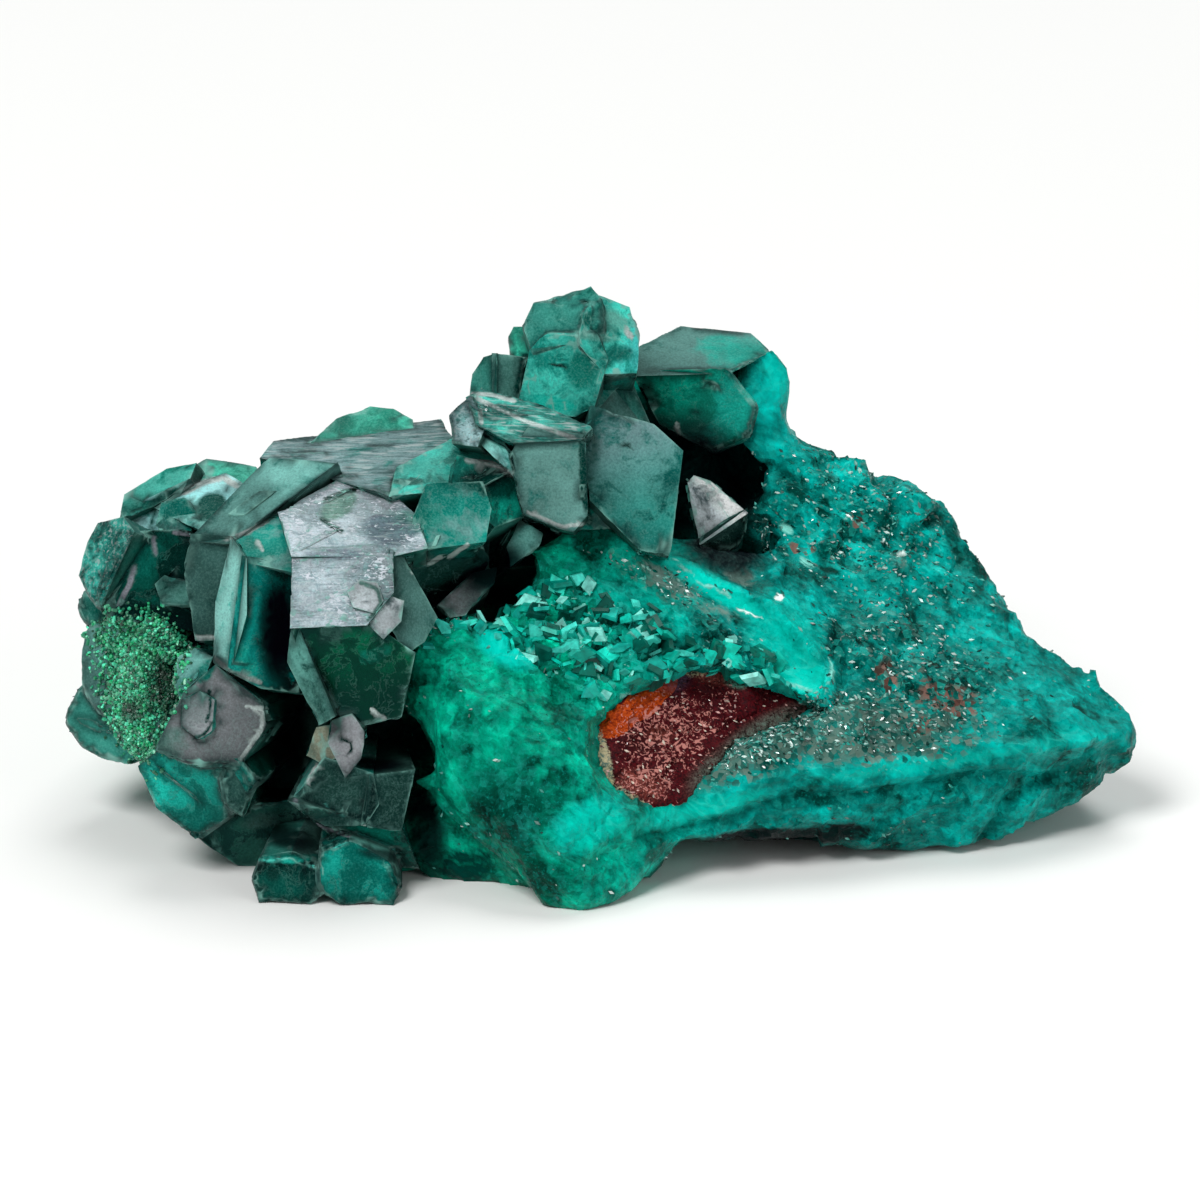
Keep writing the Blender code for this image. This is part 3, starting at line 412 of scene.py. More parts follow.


# Looks come in lit and shaded copies: each face's tone holds painted light and shade with its own lightness
PICKS = {name: FacePick(*row) for name, row in {
    "long_bent_lower": (-15.6, 12.4, Look.VEILED, 0.59),
    "long_bent_upper": (-13.6, 16.5, Look.VEILED, 1.90),
    "twin_front": (-13.3, 11.4, Look.TWIN, 1.70),
    "twin_left": (-14.6, 12.4, Look.PALE, 1.36),
    "twin_top": (-13.2, 14.5, Look.MOTTLED, 1.47),
    "centre_front": (-10.6, 12.8, Look.GLITTER, 1.50),
    "centre_top": (-9.6, 15.2, Look.GLITTER, 1.80),
    "centre_right": (-7.3, 12.4, Look.VEILED, 0.85),
    "centre_low": (-9.6, 9.6, Look.EMERALD, 0.70),
    "centre_low_left": (-11.7, 9.4, Look.VEILED_DARK, 3.79),
    "chip_upper": (-9.2, 12.4, Look.LEDGED, 1.10),
    "chip_lower": (-8.4, 11.6, Look.LEDGED, 1.55),
    "slab": (-10.4, 18.0, Look.STRIAE, 1.56),
    "slab_right": (-7.2, 17.8, Look.STRIAE, 1.30),
    "slab_behind": (-9.4, 19.4, Look.GREEN, 1.78),
    "knob_front": (-6.0, 15.6, Look.MOTTLED, 1.02),
    "knob_right": (-3.8, 16.4, Look.CLEAR, 3.29),
    "knob_top": (-6.0, 17.6, Look.SUMMIT, 2.00),
    "dark_panel": (-6.2, 13.2, Look.NIGHT, 0.34),
    "dark_step": (-5.2, 12.5, Look.BLOOM, 1.13),
    "gap_chip": (-3.0, 14.4, Look.VEILED, 1.33),
    "far_left_upper": (-17.8, 16.5, Look.VEILED_GREEN, 1.95),
    "far_left_lower": (-18.2, 15.4, Look.VEILED, 4.60),
    "left_crest": (-15.1, 17.4, Look.GREEN, 2.04),
    "left_ridge": (-15.8, 16.4, Look.STRIAE, 0.22),
    "left_small": (-17.0, 15.5, Look.VEILED, 4.60),
    "left_front": (-18.0, 13.2, Look.CLEAR, 0.50),
    "left_front_side": (-19.9, 13.6, Look.STRIAE_GREEN, 1.50),
    "left_plate": (-17.0, 12.5, Look.VEILED_DARK, 2.36),
    "outer_knob": (-20.5, 12.0, Look.VEILED_GREEN, 0.74),
    "left_flank": (-20.0, 9.6, Look.VEILED, 1.54),
    "outer_lobe": (-20.2, 7.0, Look.VEILED_GREEN, 1.33),
    "druse_plate": (-17.5, 10.5, Look.VEILED, 0.84),
    "foot_face": (-14.9, 7.0, Look.BLOOM, 1.2),
    "foot_upper": (-16.1, 9.5, Look.PALE, 0.82),
    "foot_chip": (-15.9, 7.7, Look.BLOOM, 1.25),
    "foot_under": (-16.2, 4.6, Look.CLEAR_BRIGHT, 1.77),
    "foot_side": (-14.4, 4.7, Look.VEILED_DARK, 1.05),
    "lower_back": (-13.6, 2.9, Look.NIGHT, 17.00),
    "lower_box": (-10.2, 4.6, Look.VEILED_DARK, 0.53),
    "lower_box_right": (-8.3, 4.3, Look.VEILED_DARK, 0.29),
    "lower_box_below": (-9.7, 2.9, Look.VEILED_DARK, 5.00),
    "lower_tooth": (-9.9, 6.5, Look.BLOOM, 2.09),
    "lower_tooth_left": (-10.9, 6.6, Look.CREAM, 0.80),
    "toe_left": (-12.2, 1.0, Look.CLEAR_BRIGHT, 0.14),
    "toe_right": (-9.6, 1.2, Look.CLEAR_BRIGHT, 1.46),
    "summit_dome": (-1.4, 23.5, Look.VEILED_GREEN, 1.06),
    "summit_right": (0.5, 22.8, Look.SUMMIT, 2.20),
    "summit_middle": (-1.4, 21.4, Look.SUMMIT, 1.75),
    "summit_left": (-3.1, 22.4, Look.GREEN, 2.50),
    "summit_side_left": (-4.7, 20.9, Look.VEILED_GREEN, 1.12),
    "summit_side_right": (-3.7, 20.9, Look.VEILED_DARK, 2.78),
    "blade_face": (-2.1, 17.0, Look.PALE, 0.80),
    "blade_top": (-3.0, 19.3, Look.STRIAE_GREEN, 1.5),
    "blade_left": (-5.3, 19.2, Look.STRIAE, 3.37),
    "blade_low_left": (-4.1, 18.1, Look.VEILED, 5.00),
    "broad": (1.2, 16.8, Look.BLOOM_FADING, 1.08),
    "shoulder_top": (3.8, 22.3, Look.VEILED, 1.13),
    "shoulder_front": (4.0, 20.2, Look.DEEP, 2.34),
    "cavity_face": (4.6, 16.0, Look.LEDGED, 1.90),
    "cavity_side": (4.9, 14.6, Look.NIGHT, 1.0),
}.items()}

# Patches of the crystals with a colour of their own, and thin lines along edges, ledges and cracks, with
# painted highlights and painted shadow lines among them
CRYSTAL_STAINS_HIGHLIGHTS_SHADOWS = {
    "#00433a": (
        Spot(-17.5, 16.2, 1.0, 0.28, 25, 0.9), Spot(-17.8, 15.7, 0.2, 0.7, -10, 0.8),
        Spot(-15.6, 15.9, 0.8, 0.5, 40, 0.9), Spot(-7.6, 16.9, 1.0, 0.16, 0, 0.8),
        Spot(-4.4, 16.9, 1.3, 0.7, -15, 0.8),
        Seam(((-0.72, 18.4), (-0.65, 17.0), (-0.45, 15.3)), 0.3),
        Seam(((-3.0, 21.9), (-3.3, 20.6)), 0.28), Spot(-2.3, 15.2, 1.1, 0.3, -25, 0.8),
        Spot(-12.8, 0.7, 1.1, 0.9, 0, 0.7), Spot(0.8, 22.0, 0.6, 0.4, 0, 0.7),
    ),
    "#0a7163": (
        Spot(-0.4, 23.4, 0.5, 0.28, 20, 0.9), Spot(-0.7, 21.3, 0.7, 0.8, 0, 0.8),
        Spot(-13.8, 14.4, 0.4, 0.4, 0, 0.8),
        Spot(-15.6, 9.4, 0.35, 0.5, -30, 0.9), Spot(-7.3, 15.4, 1.2, 0.6, 10, 0.7),
        Spot(-18.4, 13.8, 1.4, 0.6, 10, 0.5), Spot(-8.9, 10.0, 0.9, 0.4, 20, 0.45),
        Spot(-12.2, 2.0, 1.5, 0.2, 0, 0.7),
    ),
    "#14b8a4": (Spot(5.6, 20.4, 1.0, 2.0, -20, 0.9, 0.8), Spot(5.9, 22.1, 1.9, 0.7, -12, 0.9, 0.8)),
    "#4a6660": (
        Spot(-16.9, 6.6, 0.8, 0.8, 0, 0.6), Spot(-13.5, 3.4, 0.8, 0.35, 10, 0.7),
        Seam(((-9.4, 12.9), (-8.7, 12.6), (-8.6, 12.0), (-9.1, 11.4)), 0.17),
    ),
    "#6c7486": (Spot(-8.4, 14.9, 1.1, 0.65, -15, 0.9), Spot(-10.4, 14.0, 1.4, 0.3, 0, 0.6)),
    "#6a8a7e": (Spot(-10.4, 15.9, 0.85, 0.5, 30, 0.9),),
    "#5fae9f": (Spot(0.5, 23.3, 0.7, 0.5, -30, 0.7), Spot(-0.4, 22.7, 1.0, 0.2, -10, 0.8)),
    "#1cc4b0": (
        Spot(-1.9, 20.05, 1.0, 0.26, -12, 1.0, 0.3, 1.5), Spot(-5.9, 17.4, 0.3, 0.35, 0, 0.9, 0.4, 1.0),
        Spot(-1.4, 13.9, 1.6, 0.35, -8, 0.6, 0.5, 1.0), Spot(-14.0, 9.8, 0.45, 0.85, 30, 0.7, 0.4, 1.0),
        Spot(-12.6, 1.95, 0.9, 0.12, 0, 0.7, 0.5, 1.5),
    ),
    "#8f909a": (
        Seam(((-18.55, 13.5), (-18.75, 12.8), (-19.2, 11.95)), 0.17),
        Seam(((-17.8, 14.7), (-17.7, 14.05)), 0.13), Seam(((-16.9, 14.9), (-16.35, 14.8)), 0.18),
        Seam(((-12.0, 4.3), (-11.7, 3.75), (-10.9, 3.2), (-9.9, 2.9)), 0.16),
        Seam(((-16.3, 10.25), (-15.8, 10.55)), 0.17),
    ),
    # Pale lines and dots: painted highlights along edges and ledges
    "#ccd8d5": (
        Seam(((-16.6, 16.55), (-15.9, 16.9), (-15.1, 17.1), (-14.5, 16.75)), 0.26),
        Seam(((-7.4, 13.3), (-6.3, 13.9)), 0.17), Seam(((-6.0, 13.9), (-5.2, 14.4)), 0.17),
        Seam(((-5.1, 20.4), (-4.3, 20.35), (-3.4, 20.1)), 0.17), Seam(((-4.75, 19.7), (-4.7, 19.2)), 0.18),
        Seam(((-5.3, 17.75), (-4.3, 17.65), (-3.5, 17.2)), 0.17),
        Seam(((-4.9, 20.2), (-3.0, 19.3), (-1.0, 18.6)), 0.17),
        Seam(((-14.7, 14.6), (-13.9, 14.9), (-13.2, 15.3)), 0.17),
        Seam(((-13.5, 14.5), (-13.3, 14.15)), 0.17),
        Seam(((-11.5, 5.0), (-11.2, 5.7)), 0.17), Seam(((-9.0, 7.9), (-8.5, 7.5)), 0.17),
        Seam(((-16.0, 10.7), (-15.3, 10.7)), 0.17), Seam(((-15.2, 9.9), (-14.5, 9.3), (-13.4, 8.95)), 0.17),
        Seam(((-14.0, 8.0), (-13.2, 7.9), (-13.4, 7.0), (-14.2, 5.9)), 0.17),
        Seam(((3.1, 19.3), (3.3, 18.2)), 0.17),
        Seam(((-2.9, 15.7), (-1.5, 15.1), (-0.7, 15.2)), 0.17), Spot(1.15, 22.8, 0.12, 0.3, 25, 1.0),
    ),
    # Black lines and dots: painted shadows along ledges, steps and edges
    "#030506": (
        Seam(((-15.4, 8.6), (-15.35, 8.0), (-15.5, 7.4)), 0.17),
        Seam(((-15.25, 7.4), (-15.6, 6.9), (-16.0, 6.75)), 0.17),
        Seam(((-10.1, 6.7), (-9.85, 6.6), (-9.75, 6.35), (-9.95, 6.0)), 0.17),
        Seam(((-8.9, 4.9), (-8.95, 4.2), (-9.0, 3.6), (-10.6, 3.8)), 0.24),
        Seam(((-2.0, 21.6), (-1.35, 21.5)), 0.17),
        Seam(((-4.6, 18.75), (-3.6, 18.15), (-3.45, 17.4)), 0.17),
        Seam(((-11.0, 15.4), (-10.2, 14.9)), 0.17),
        Seam(((-10.9, 16.2), (-9.7, 16.6)), 0.17), Spot(0.95, 18.4, 0.3, 0.15, 0, 0.9),
        Seam(((-13.5, 15.2), (-12.4, 16.1)), 0.18), Spot(-12.9, 1.4, 0.3, 0.3, 0, 0.6),
    ),
}

# Where the foil-like new growth of the centre block flashes, in painted glints
SPARK_SPOTS = (
    Spot(-12.3, 15.2, 0.7, 0.55, -30, 1.0), Spot(-10.8, 14.9, 1.3, 0.4, 10, 0.9),
    Spot(-10.0, 12.0, 1.0, 0.6, 0, 1.0),
    Spot(-8.8, 13.4, 0.65, 0.7, 0, 0.9), Spot(-10.9, 16.4, 0.9, 0.25, 30, 1.0),
    Spot(-8.3, 16.0, 0.6, 0.4, 20, 0.8),
    Spot(-12.0, 14.0, 0.35, 0.8, 0, 0.7), Spot(-7.5, 14.5, 0.4, 0.4, 0, 0.6),
    Spot(-11.3, 13.0, 0.5, 0.4, 0, 0.6),
)

# Ends of the crystals that bulge smoothly
ROUNDED_SPOTS = (
    Spot(-12.2, 1.4, 1.7, 1.3, 0, 1.0, 0.3), Spot(-9.5, 1.5, 1.7, 1.4, 0, 1.0, 0.3),
    Spot(-15.6, 4.6, 2.2, 1.7, -35, 0.9, 0.4), Spot(-20.6, 7.2, 1.4, 1.9, 0, 0.9, 0.4),
    Spot(-20.3, 11.8, 0.9, 1.2, 0, 0.7, 0.4), Spot(-0.6, 23.2, 2.2, 0.9, -10, 0.5, 0.4),
    Spot(5.8, 20.2, 1.2, 2.2, -30, 0.8, 0.5), Spot(6.4, 22.1, 1.0, 0.5, 0, 0.6, 0.5),
)

# Faces that the picture doesn't show take turns with these looks
UNSEEN_LOOKS = (Look.VEILED, Look.CLEAR, Look.VEILED_GREEN, Look.VEILED_DARK, Look.CLEAR_BRIGHT, Look.MOTTLED)


# What a finish starts from: its material, the helper that adds a node, the shader and the coordinates
Start = tuple[Material, Callable[..., Node], Node, NodeSocket]


class Finish:
    """What the finishes share: a material with a shader, and the pattern coordinates of the specimen."""

    name: str

    def start(self) -> Start:
        """Makes a material with nothing but its shader and the coordinates.

        Returns:
            The material, the helper that adds a node to it, its shader and the coordinates.
        """
        material = bpy.data.materials.new(self.name)
        material.use_nodes = True
        node = partial(add_node, material.node_tree)
        shader = material.node_tree.nodes["Principled BSDF"]
        return material, node, shader, node("TexCoord").outputs["Object"]

    @staticmethod
    def per_metre(size_mm: float) -> float:
        """Gives the texture scale of a pattern whose marks are size_mm apart."""
        return 1.0 / (size_mm * MM)


@dataclass(frozen=True)
class DioptaseCrystal(Finish):
    """Dioptase, a green copper silicate grown as prisms in an open pocket.

    Its faces are natural growth faces. A thin film of quartz and dust and a painted sheen of reflected light
    grey many of them, and the clear ones show the dark body. Light that enters is soaked up within a few
    millimetres.
    """

    name: str = "dioptase_crystal"
    # Dioptase bends light by 1.65 to 1.71
    ior: float = 1.66
    clearness: float = 0.3
    shine: float = 0.2
    shine_tint: str = "#48c4b4"
    body_green: str = "#0f9a76"
    soak_density: float = 420.0
    bloom: str = "#7aa39c"
    spark: str = "#e8ecf6"
    stria_light: str = "#c9d2d2"
    # The pale of chipped edges with a painted highlight along them; it also colours the healed cracks
    edge_light: str = "#8fcabd"
    # How strongly the healed cracks show, as thin light wisps in the clear body
    healing: float = 0.1
    groove: str = "#0f3a38"
    # The near-black of the painted shade in creases and hollows
    painted_shade: str = "#05010a"
    # The dusty film is a few hundredths of a millimetre fine and is drawn at 0.09 to show
    film_mm: float = 0.09
    # Veils and tones are inner clouds, and change a few times along a crystal of 3 to 6 mm
    cloud_mm: float = 1.3
    tone_mm: float = 2.4
    # Growth lines are 0.02 to 0.1 mm apart and are drawn at 0.14 to show, as are the ripples of the foil
    stria_mm: float = 0.14
    glitter_mm: float = 0.13

    def make(self) -> Material:
        """Builds the material.

        Returns:
            The material, which reads the face colours and finishes stored on the mesh.
        """
        material, node, shader, coordinates = self.start()
        body, under, finish, stain = (
            node("Attribute", attribute_name=name) for name in ("body", "under", "finish", "stain"))
        edge, crevice_shade, hollow_shade = (
            node("Attribute", attribute_name=name).outputs["Fac"] for name in ("edge", "crevice_shade", "hollow_shade"))
        rough, film, glitter = node("SeparateColor", {"Color": finish.outputs["Color"]}).outputs.values()
        stria = body.outputs["Alpha"]
        spark = finish.outputs["Alpha"]

        dust = node("TexNoise", {
            "Vector": coordinates, "Scale": self.per_metre(self.film_mm), "Detail": 3.0, "Roughness": 0.7})
        cloud = node("TexNoise", {
            "Vector": coordinates, "Scale": self.per_metre(self.cloud_mm), "Detail": 7.0, "Roughness": 0.68,
            "Distortion": 0.4})
        tone = node("TexNoise", {
            "Vector": coordinates, "Scale": self.per_metre(self.tone_mm), "Detail": 3.0})
        stretched = node("Mapping", {
            "Vector": coordinates, "Rotation": (0.0, 0.12, 0.06), "Scale": (0.14, 1.0, 1.0)})
        streak = node("TexNoise", {
            "Vector": stretched, "Scale": self.per_metre(self.stria_mm), "Detail": 2.0, "Roughness": 0.5,
            "Distortion": 0.9})
        rippled = node("Mapping", {"Vector": coordinates, "Scale": (0.45, 1.0, 1.0)})
        facets = node("TexNoise", {
            "Vector": rippled, "Scale": self.per_metre(self.glitter_mm), "Detail": 2.0, "Roughness": 0.6,
            "Distortion": 1.1})

        limit = node("MapRange", {"Value": under.outputs["Alpha"], "To Min": 0.78, "To Max": 0.22})
        over = node("Math", {0: cloud, 1: limit}, operation="SUBTRACT")
        cover = node("MapRange", {"Value": over, "From Min": -0.06, "From Max": 0.06})
        base = node("Mix", {0: cover, 6: under.outputs["Color"], 7: body.outputs["Color"]})
        depth = node("MapRange", {
            "Value": tone, "From Min": 0.3, "From Max": 0.7, "To Min": 0.55, "To Max": 1.45})
        grit = node("MapRange", {
            "Value": dust, "From Min": 0.35, "From Max": 0.65, "To Min": 0.75, "To Max": 1.25})
        gritty = node("Math", {0: depth, 1: grit}, operation="MULTIPLY")
        # The stain attribute carries colour patches, painted highlight lines and painted shadow lines
        ragged = node("Math", {0: cloud, 1: 1.7, 2: stain.outputs["Alpha"]}, operation="MULTIPLY_ADD")
        stained = node("MapRange", {"Value": ragged, "From Min": 1.15, "From Max": 1.6})
        patched = node("Mix", {0: stained, 6: base, 7: stain.outputs["Color"]})
        surface = node("Mix", {0: 1.0, 6: patched, 7: gritty}, blend_type="MULTIPLY")
        middle = node("Math", {0: cloud, 1: 0.5, 2: 0.009}, operation="COMPARE")
        healed = node("Math", {0: middle, 1: self.healing}, operation="MULTIPLY")
        dusty = node("MapRange", {"Value": dust, "From Min": 0.48, "From Max": 0.8, "To Max": 0.9})
        dusting = node("Math", {0: dusty, 1: film}, operation="MULTIPLY")
        ridge = node("MapRange", {"Value": streak, "From Min": 0.54, "From Max": 0.66, "To Max": 0.6})
        lined = node("Math", {0: ridge, 1: stria}, operation="MULTIPLY")
        groove = node("MapRange", {"Value": streak, "From Min": 0.46, "From Max": 0.34, "To Max": 0.6})
        grooving = node("Math", {0: groove, 1: stria}, operation="MULTIPLY")
        # Painted glints on the foil-like faces
        spread = node("Math", {0: spark, 1: 0.12, 2: facets}, operation="MULTIPLY_ADD")
        flash = node("MapRange", {"Value": spread, "From Min": 0.635, "From Max": 0.69})
        flashing = node("Math", {0: flash, 1: glitter}, operation="MULTIPLY")
        # Worn edges: paler chipped rims with a painted highlight along the convex edges
        thin = node("Math", {0: edge, 1: 4.0}, operation="POWER")
        chipped = node("MapRange", {
            "Value": cloud, "From Min": 0.44, "From Max": 0.6, "To Min": 0.1, "To Max": 0.9})
        worn_and_highlit = node("Math", {0: thin, 1: chipped}, operation="MULTIPLY")
        # Painted shade in the creases between faces and in the deep hollows
        shading = node("Math", {0: crevice_shade, 1: hollow_shade}, operation="MAXIMUM")
        layers = (
            (healed, self.edge_light), (dusting, self.bloom), (lined, self.stria_light),
            (grooving, self.groove), (flashing, self.spark), (worn_and_highlit, self.edge_light), (shading, self.painted_shade))
        for mask, color in layers:
            surface = node("Mix", {0: mask, 6: surface, 7: opaque(color)})

        height = node("Math", {0: dust, 1: 0.3, 2: cloud}, operation="MULTIPLY_ADD")
        ridged = node("Math", {0: streak, 1: stria, 2: height}, operation="MULTIPLY_ADD")
        bumps = node("Math", {0: facets, 1: glitter, 2: ridged}, operation="MULTIPLY_ADD")
        bump = node("Bump", {"Height": bumps, "Strength": 0.5, "Distance": 0.00006})
        feed(shader, {
            "Base Color": surface, "Roughness": rough, "Normal": bump, "IOR": self.ior,
            "Transmission Weight": self.clearness, "Specular IOR Level": self.shine,
            "Specular Tint": opaque(self.shine_tint)})
        soak = node("VolumeAbsorption", {"Color": opaque(self.body_green), "Density": self.soak_density})
        feed(material.node_tree.nodes["Material Output"], {"Volume": soak})
        return material


@dataclass(frozen=True)
class GranularDioptase(Finish):
    """Massive dioptase: grains of the same mineral, a fraction of a millimetre each, grown tight together.

    It was broken from the vein, so its surface is fresh fracture. Light scatters between the grains, which
    makes it bright turquoise where it is thin or clean and dark green where the grains are large.
    """

    name: str = "granular_dioptase"
    ior: float = 1.66
    shine: float = 0.14
    shine_tint: str = "#28c8b4"
    deep: str = "#00453b"
    middle: str = "#00a394"
    bright: str = "#00cfbc"
    pale: str = "#0cb09f"
    sugar: str = "#2ec6b5"
    vein: str = "#2fc8b6"
    right_hue: str = "#e6dce4"
    left_hue: str = "#ffffe0"
    glint: str = "#b4ece2"
    dull: str = "#66746a"
    dark: str = "#00352e"
    rust: str = "#8a5a50"
    # The near-black of the painted shade in the hollows
    painted_shade: str = "#06040c"
    brown: str = "#3a1a14"
    # Grains are 0.1 to 0.4 mm in this rock, their cleavage shards under 1 mm and the veins 1 to 3 mm apart
    grain_mm: float = 0.26
    fine_mm: float = 0.12
    fleck_mm: float = 0.13
    shard_mm: float = 0.75
    cloud_mm: float = 2.6
    vein_mm: float = 1.15
    cleavage_slant: float = 0.6

    def make(self) -> Material:
        """Builds the material.

        Returns:
            The material, which reads the masks stored on the mesh.
        """
        material, node, shader, coordinates = self.start()
        masks, stain = (node("Attribute", attribute_name=name) for name in ("masks", "stain"))
        hollow_shade, tone, broken = (
            node("Attribute", attribute_name=name).outputs["Fac"] for name in ("hollow_shade", "tone", "broken"))
        glow, speckle, rust = node("SeparateColor", {"Color": masks.outputs["Color"]}).outputs.values()
        cloud = node("TexNoise", {
            "Vector": coordinates, "Scale": self.per_metre(self.cloud_mm), "Detail": 6.0, "Roughness": 0.6})
        fine = node("TexNoise", {
            "Vector": coordinates, "Scale": self.per_metre(self.fine_mm), "Detail": 3.0, "Roughness": 0.75})
        ground = node("Mapping", {
            "Vector": coordinates, "Rotation": (0.0, self.cleavage_slant, 0.0), "Scale": (2.4, 1.0, 1.0)},
            vector_type="TEXTURE")
        middle_noise = node("TexNoise", {
            "Vector": ground, "Scale": self.per_metre(self.grain_mm * 2.0), "Detail": 5.0, "Roughness": 0.7,
            "Distortion": 0.5})
        grain = node("TexVoronoi", {
            "Vector": coordinates, "Scale": self.per_metre(self.grain_mm), "Randomness": 1.0})
        grain_tone = node("SeparateColor", {"Color": grain.outputs["Color"]})

        bent = node("Mix", {0: 0.0004, 6: ground, 7: middle_noise.outputs["Color"]}, blend_type="ADD")
        shard = node("TexVoronoi", {
            "Vector": bent, "Scale": self.per_metre(self.shard_mm), "Randomness": 1.0})
        shard_tone = node("SeparateColor", {"Color": shard.outputs["Color"]})
        shift = node("Math", {0: shard_tone.outputs["Red"], 1: 0.5}, operation="SUBTRACT")
        breaking = node("MapRange", {"Value": broken, "To Min": 0.2, "To Max": 0.55})
        shards = node("Math", {0: shift, 1: breaking, 2: tone}, operation="MULTIPLY_ADD")
        toning = node("Math", {0: cloud, 1: 0.8, 2: shards}, operation="MULTIPLY_ADD")
        body = node("MapRange", {"Value": toning, "From Min": 0.55, "From Max": 1.0})
        dark_to_middle = node("Mix", {0: body, 6: opaque(self.deep), 7: opaque(self.middle)})
        high = node("MapRange", {"Value": toning, "From Min": 1.0, "From Max": 1.25, "To Max": 0.7})
        surface = node("Mix", {0: high, 6: dark_to_middle, 7: opaque(self.bright)})
        patch = node("MapRange", {
            "Value": middle_noise, "From Min": 0.36, "From Max": 0.66, "To Min": 0.55, "To Max": 1.3})
        grainy = node("MapRange", {"Value": grain_tone.outputs["Red"], "To Min": 0.72, "To Max": 1.22})
        grain_patch = node("Math", {0: patch, 1: grainy}, operation="MULTIPLY")
        waxy = node("MapRange", {"Value": broken, "From Min": -1.0, "From Max": 0.0, "To Min": 0.35})
        # Painted light and painted shade from the fourth channel of the masks
        lit = node("MapRange", {"Value": masks.outputs["Alpha"], "To Min": 0.15, "To Max": 1.85})
        sides = node("SeparateXYZ", {0: coordinates})
        side = node("MapRange", {"Value": sides.outputs["X"], "From Min": -0.002, "From Max": 0.005})
        hue = node("Mix", {0: side, 6: opaque(self.left_hue), 7: opaque(self.right_hue)})
        # The glow mask: clean dioptase, partly its own colour and partly a painted glow
        glow_edge = node("Math", {0: middle_noise, 1: 0.9, 2: glow}, operation="MULTIPLY_ADD")
        glow_mask = node("MapRange", {"Value": glow_edge, "From Min": 0.6, "From Max": 1.35})
        wall = node("TexVoronoi", {
            "Vector": bent, "Scale": self.per_metre(self.vein_mm)}, feature="DISTANCE_TO_EDGE")
        vein = node("MapRange", {
            "Value": wall.outputs["Distance"], "From Max": 0.045, "To Min": 0.75, "To Max": 0.0})
        clean = node("MapRange", {"Value": cloud, "From Min": 0.46, "From Max": 0.58})
        clear = node("MapRange", {"Value": glow, "To Min": 0.15})
        bare_wall = node("Math", {0: vein, 1: clear}, operation="MULTIPLY")
        veining = node("Math", {0: bare_wall, 1: clean}, operation="MULTIPLY")
        sugary = node("MapRange", {"Value": broken, "To Min": 0.14, "To Max": 0.6})
        sugar = node("MapRange", {"Value": grain_tone.outputs["Blue"], "From Min": 0.55, "To Max": sugary})
        fleck = node("MapRange", {"Value": fine, "From Min": 0.54, "From Max": 0.74, "To Max": 0.4})
        # Painted glints where cleavage faces would catch the light
        cleavage = node("TexNoise", {
            "Vector": ground, "Scale": self.per_metre(self.fleck_mm), "Detail": 1.0})
        silky = node("MapRange", {"Value": side, "To Min": 0.8, "To Max": 0.66})
        bare = node("Math", {0: cleavage, 1: silky}, operation="SUBTRACT")
        glint = node("MapRange", {"Value": bare, "From Min": 0.0, "From Max": 0.1, "To Max": 0.6})
        rocky = node("Math", {0: broken, 1: speckle}, operation="MAXIMUM")
        glinting = node("Math", {0: glint, 1: rocky}, operation="MULTIPLY")
        calm = node("MapRange", {"Value": glow, "To Min": 0.55, "To Max": 0.15})
        calmed = node("Math", {0: calm, 1: waxy}, operation="MULTIPLY").outputs[0]
        gap = node("MapRange", {"Value": fine, "From Min": 0.46, "From Max": 0.3, "To Max": calmed})
        dulling = node("Math", {0: grain_tone.outputs["Red"], 1: 0.7, 2: speckle}, operation="MULTIPLY_ADD")
        dull_mask = node("MapRange", {"Value": dulling, "From Min": 0.75, "From Max": 1.15, "To Max": 0.85})
        dull_grain = node("Mix", {
            0: grain_tone.outputs["Green"], 6: opaque(self.dark), 7: opaque(self.dull)})
        rusting = node("Math", {0: grain_tone.outputs["Green"], 1: 0.7, 2: rust}, operation="MULTIPLY_ADD")
        rust_mask = node("MapRange", {"Value": rusting, "From Min": 1.0, "From Max": 1.25, "To Max": 0.85})
        rust_grain = node("Mix", {
            0: grain_tone.outputs["Blue"], 6: opaque(self.brown), 7: opaque(self.rust)})
        # Stains of the mass, with painted shade under its lower edge
        ragged = node("Math", {0: middle_noise, 1: 2.0, 2: stain.outputs["Alpha"]}, operation="MULTIPLY_ADD")
        stained = node("MapRange", {"Value": ragged, "From Min": 1.4, "From Max": 1.8})
        grained = node("Mix", {0: 1.0, 6: stain.outputs["Color"], 7: patch}, blend_type="MULTIPLY")
        for mask, factor in ((waxy, grain_patch), (1.0, lit), (1.0, hue)):
            surface = node("Mix", {0: mask, 6: surface, 7: factor}, blend_type="MULTIPLY")
        # The last layer paints shade into the deep hollows
        layers = (
            (glow_mask, opaque(self.bright)), (veining, opaque(self.vein)), (sugar, opaque(self.sugar)),
            (fleck, opaque(self.pale)), (glinting, opaque(self.glint)), (gap, opaque(self.dark)),
            (dull_mask, dull_grain), (rust_mask, rust_grain), (stained, grained),
            (hollow_shade, opaque(self.painted_shade)))
        for mask, color in layers:
            surface = node("Mix", {0: mask, 6: surface, 7: color})

        rough = node("MapRange", {
            "Value": fine, "From Min": 0.3, "From Max": 0.7, "To Min": 0.22, "To Max": 0.6})
        height = node("Math", {0: fine, 1: 0.5, 2: grain.outputs["Distance"]}, operation="MULTIPLY_ADD")
        bump = node("Bump", {"Height": height, "Strength": 0.6, "Distance": 0.00008})
        feed(shader, {
            "Base Color": surface, "Roughness": rough, "Normal": bump, "IOR": self.ior,
            "Specular IOR Level": self.shine, "Specular Tint": opaque(self.shine_tint)})
        return material


